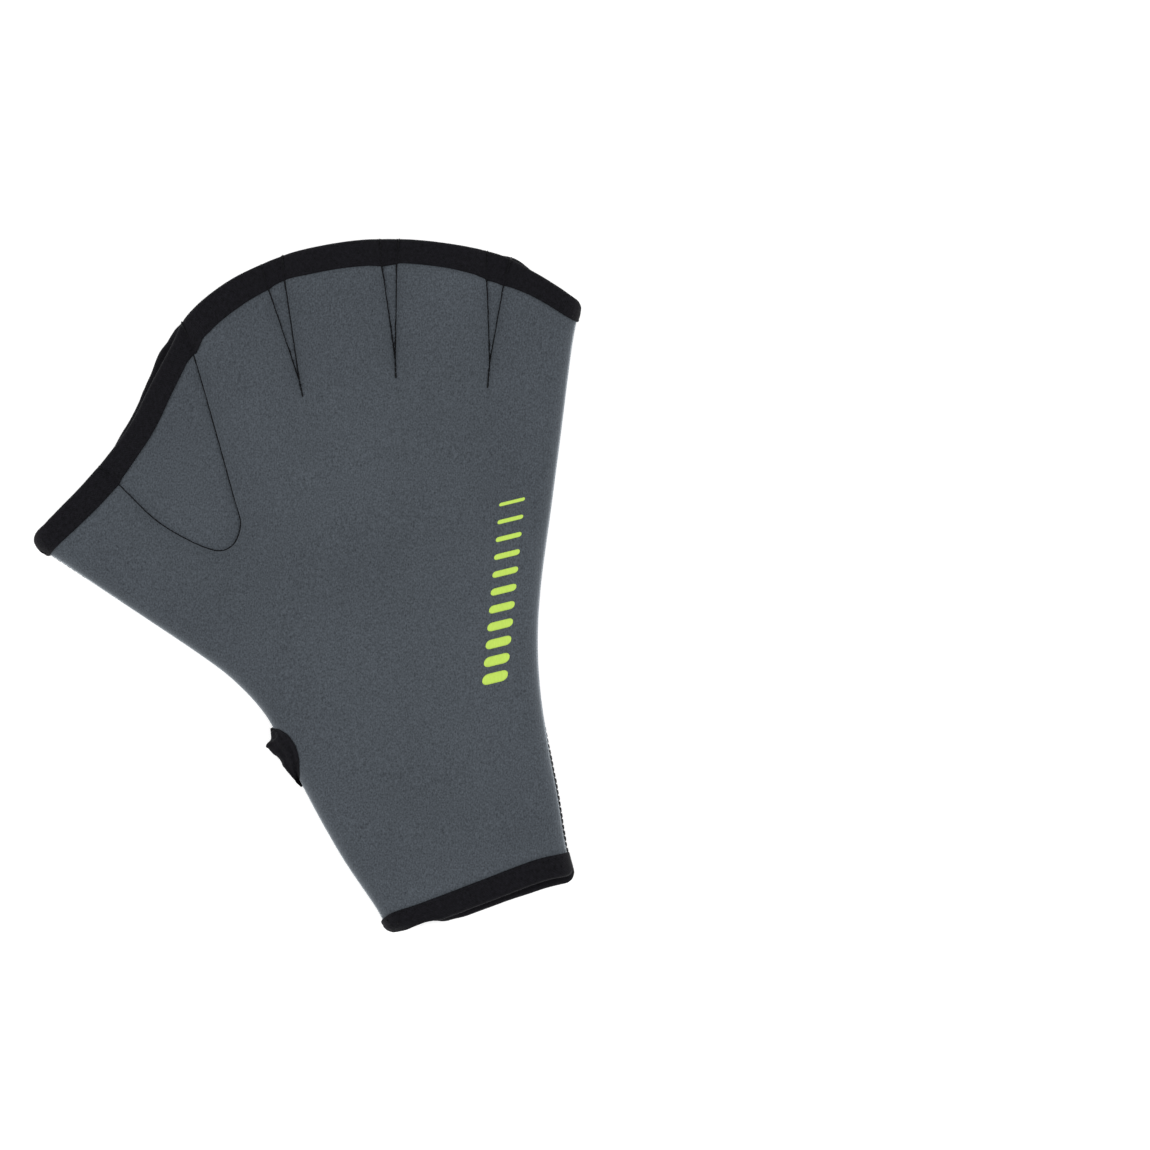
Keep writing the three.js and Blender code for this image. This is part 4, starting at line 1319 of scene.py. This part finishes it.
class GLOVE_OT_stage(bpy.types.Operator):
    """Set the pale floor, the soft lights on both sides and the camera straight above"""

    bl_idname = "glove.stage"
    bl_label = "Stage"

    def execute(self, context):
        stage = context.scene.glove_stage
        material, graph = material_graph("pale_floor")
        surface = graph.node("ShaderNodeBsdfPrincipled", None, {
            "Base Color": opaque(stage.floor_colour), "Roughness": 0.9, "Specular IOR Level": 0.1,
            "Emission Color": opaque(stage.floor_colour), "Emission Strength": stage.floor_glow,
        })
        graph.node("ShaderNodeOutputMaterial", None, {"Surface": surface})
        half = 3.0
        mesh = bpy.data.meshes.new("floor")
        mesh.from_pydata([(-half, -half, 0), (half, -half, 0), (half, half, 0), (-half, half, 0)], [],
                         [(0, 1, 2, 3)])
        mesh.materials.append(material)
        floor = bpy.data.objects.new("floor", mesh)
        floor.location.z = -0.00005
        context.scene.collection.objects.link(floor)

        world = bpy.data.worlds.new("even_sky")
        world.use_nodes = True
        background = world.node_tree.nodes["Background"]
        background.inputs["Color"].default_value = (1, 1, 1, 1)
        background.inputs["Strength"].default_value = stage.sky_strength
        context.scene.world = world
        for name, place in (("right_light", (1.0, 0.15, 0.8)), ("left_light", (-1.0, -0.1, 0.8))):
            light = bpy.data.lights.new(name, "AREA")
            light.energy = stage.side_power
            light.size = 1.2
            lamp = bpy.data.objects.new(name, light)
            lamp.location = place
            lamp.rotation_mode = "QUATERNION"
            lamp.rotation_quaternion = Vector(place).to_track_quat("Z", "Y")
            context.scene.collection.objects.link(lamp)

        # The photograph's frame: its side and middle in pixels, and the glove's own middle and scale in it
        frame_pixels = 1150
        glove_centre = (307, 585.5)
        pixel = 0.36 * MM
        lens = bpy.data.cameras.new("camera")
        lens.sensor_width = 36
        to_cloth = stage.camera_height - 8 * MM
        lens.lens = lens.sensor_width * to_cloth / (frame_pixels * pixel)
        lens.clip_end = 20
        camera = bpy.data.objects.new("camera", lens)
        camera.location = ((frame_pixels / 2 - glove_centre[0]) * pixel,
                           (glove_centre[1] - frame_pixels / 2) * pixel, stage.camera_height)
        context.scene.collection.objects.link(camera)
        context.scene.camera = camera
        context.scene.view_settings.view_transform = "Standard"
        return {"FINISHED"}


STEPS = (
    GLOVE_OT_panels, GLOVE_OT_bindings, GLOVE_OT_vent, GLOVE_OT_side_seams, GLOVE_OT_web_seams,
    GLOVE_OT_tape_stitches, GLOVE_OT_print, GLOVE_OT_stage,
)


class GLOVE_PT_panel(bpy.types.Panel):
    """Lists the glove's settings and the steps that make it"""

    bl_idname = "GLOVE_PT_panel"
    bl_label = "Webbed Swim Glove"
    bl_space_type = "VIEW_3D"
    bl_region_type = "UI"
    bl_category = "Swim Glove"

    def draw(self, context):
        for group in (context.scene.glove_finish, context.scene.glove_stage):
            box = self.layout.box()
            for name in group.bl_rna.properties.keys():
                if name not in {"rna_type", "name"}:
                    box.prop(group, name)
        for step in STEPS:
            self.layout.operator(step.bl_idname)


CLASSES = (GloveFinish, GloveStage, *STEPS, GLOVE_PT_panel)


def register():
    for entry in CLASSES:
        bpy.utils.register_class(entry)
    bpy.types.Scene.glove_finish = PointerProperty(type=GloveFinish)
    bpy.types.Scene.glove_stage = PointerProperty(type=GloveStage)


def unregister():
    del bpy.types.Scene.glove_stage
    del bpy.types.Scene.glove_finish
    for entry in reversed(CLASSES):
        bpy.utils.unregister_class(entry)


def main():
    register()
    bpy.ops.glove.panels()
    bpy.ops.glove.bindings()
    bpy.ops.glove.vent()
    bpy.ops.glove.side_seams()
    bpy.ops.glove.web_seams()
    bpy.ops.glove.tape_stitches()
    bpy.ops.glove.print()
    bpy.ops.glove.stage()


if __name__ == "__main__":
    main()
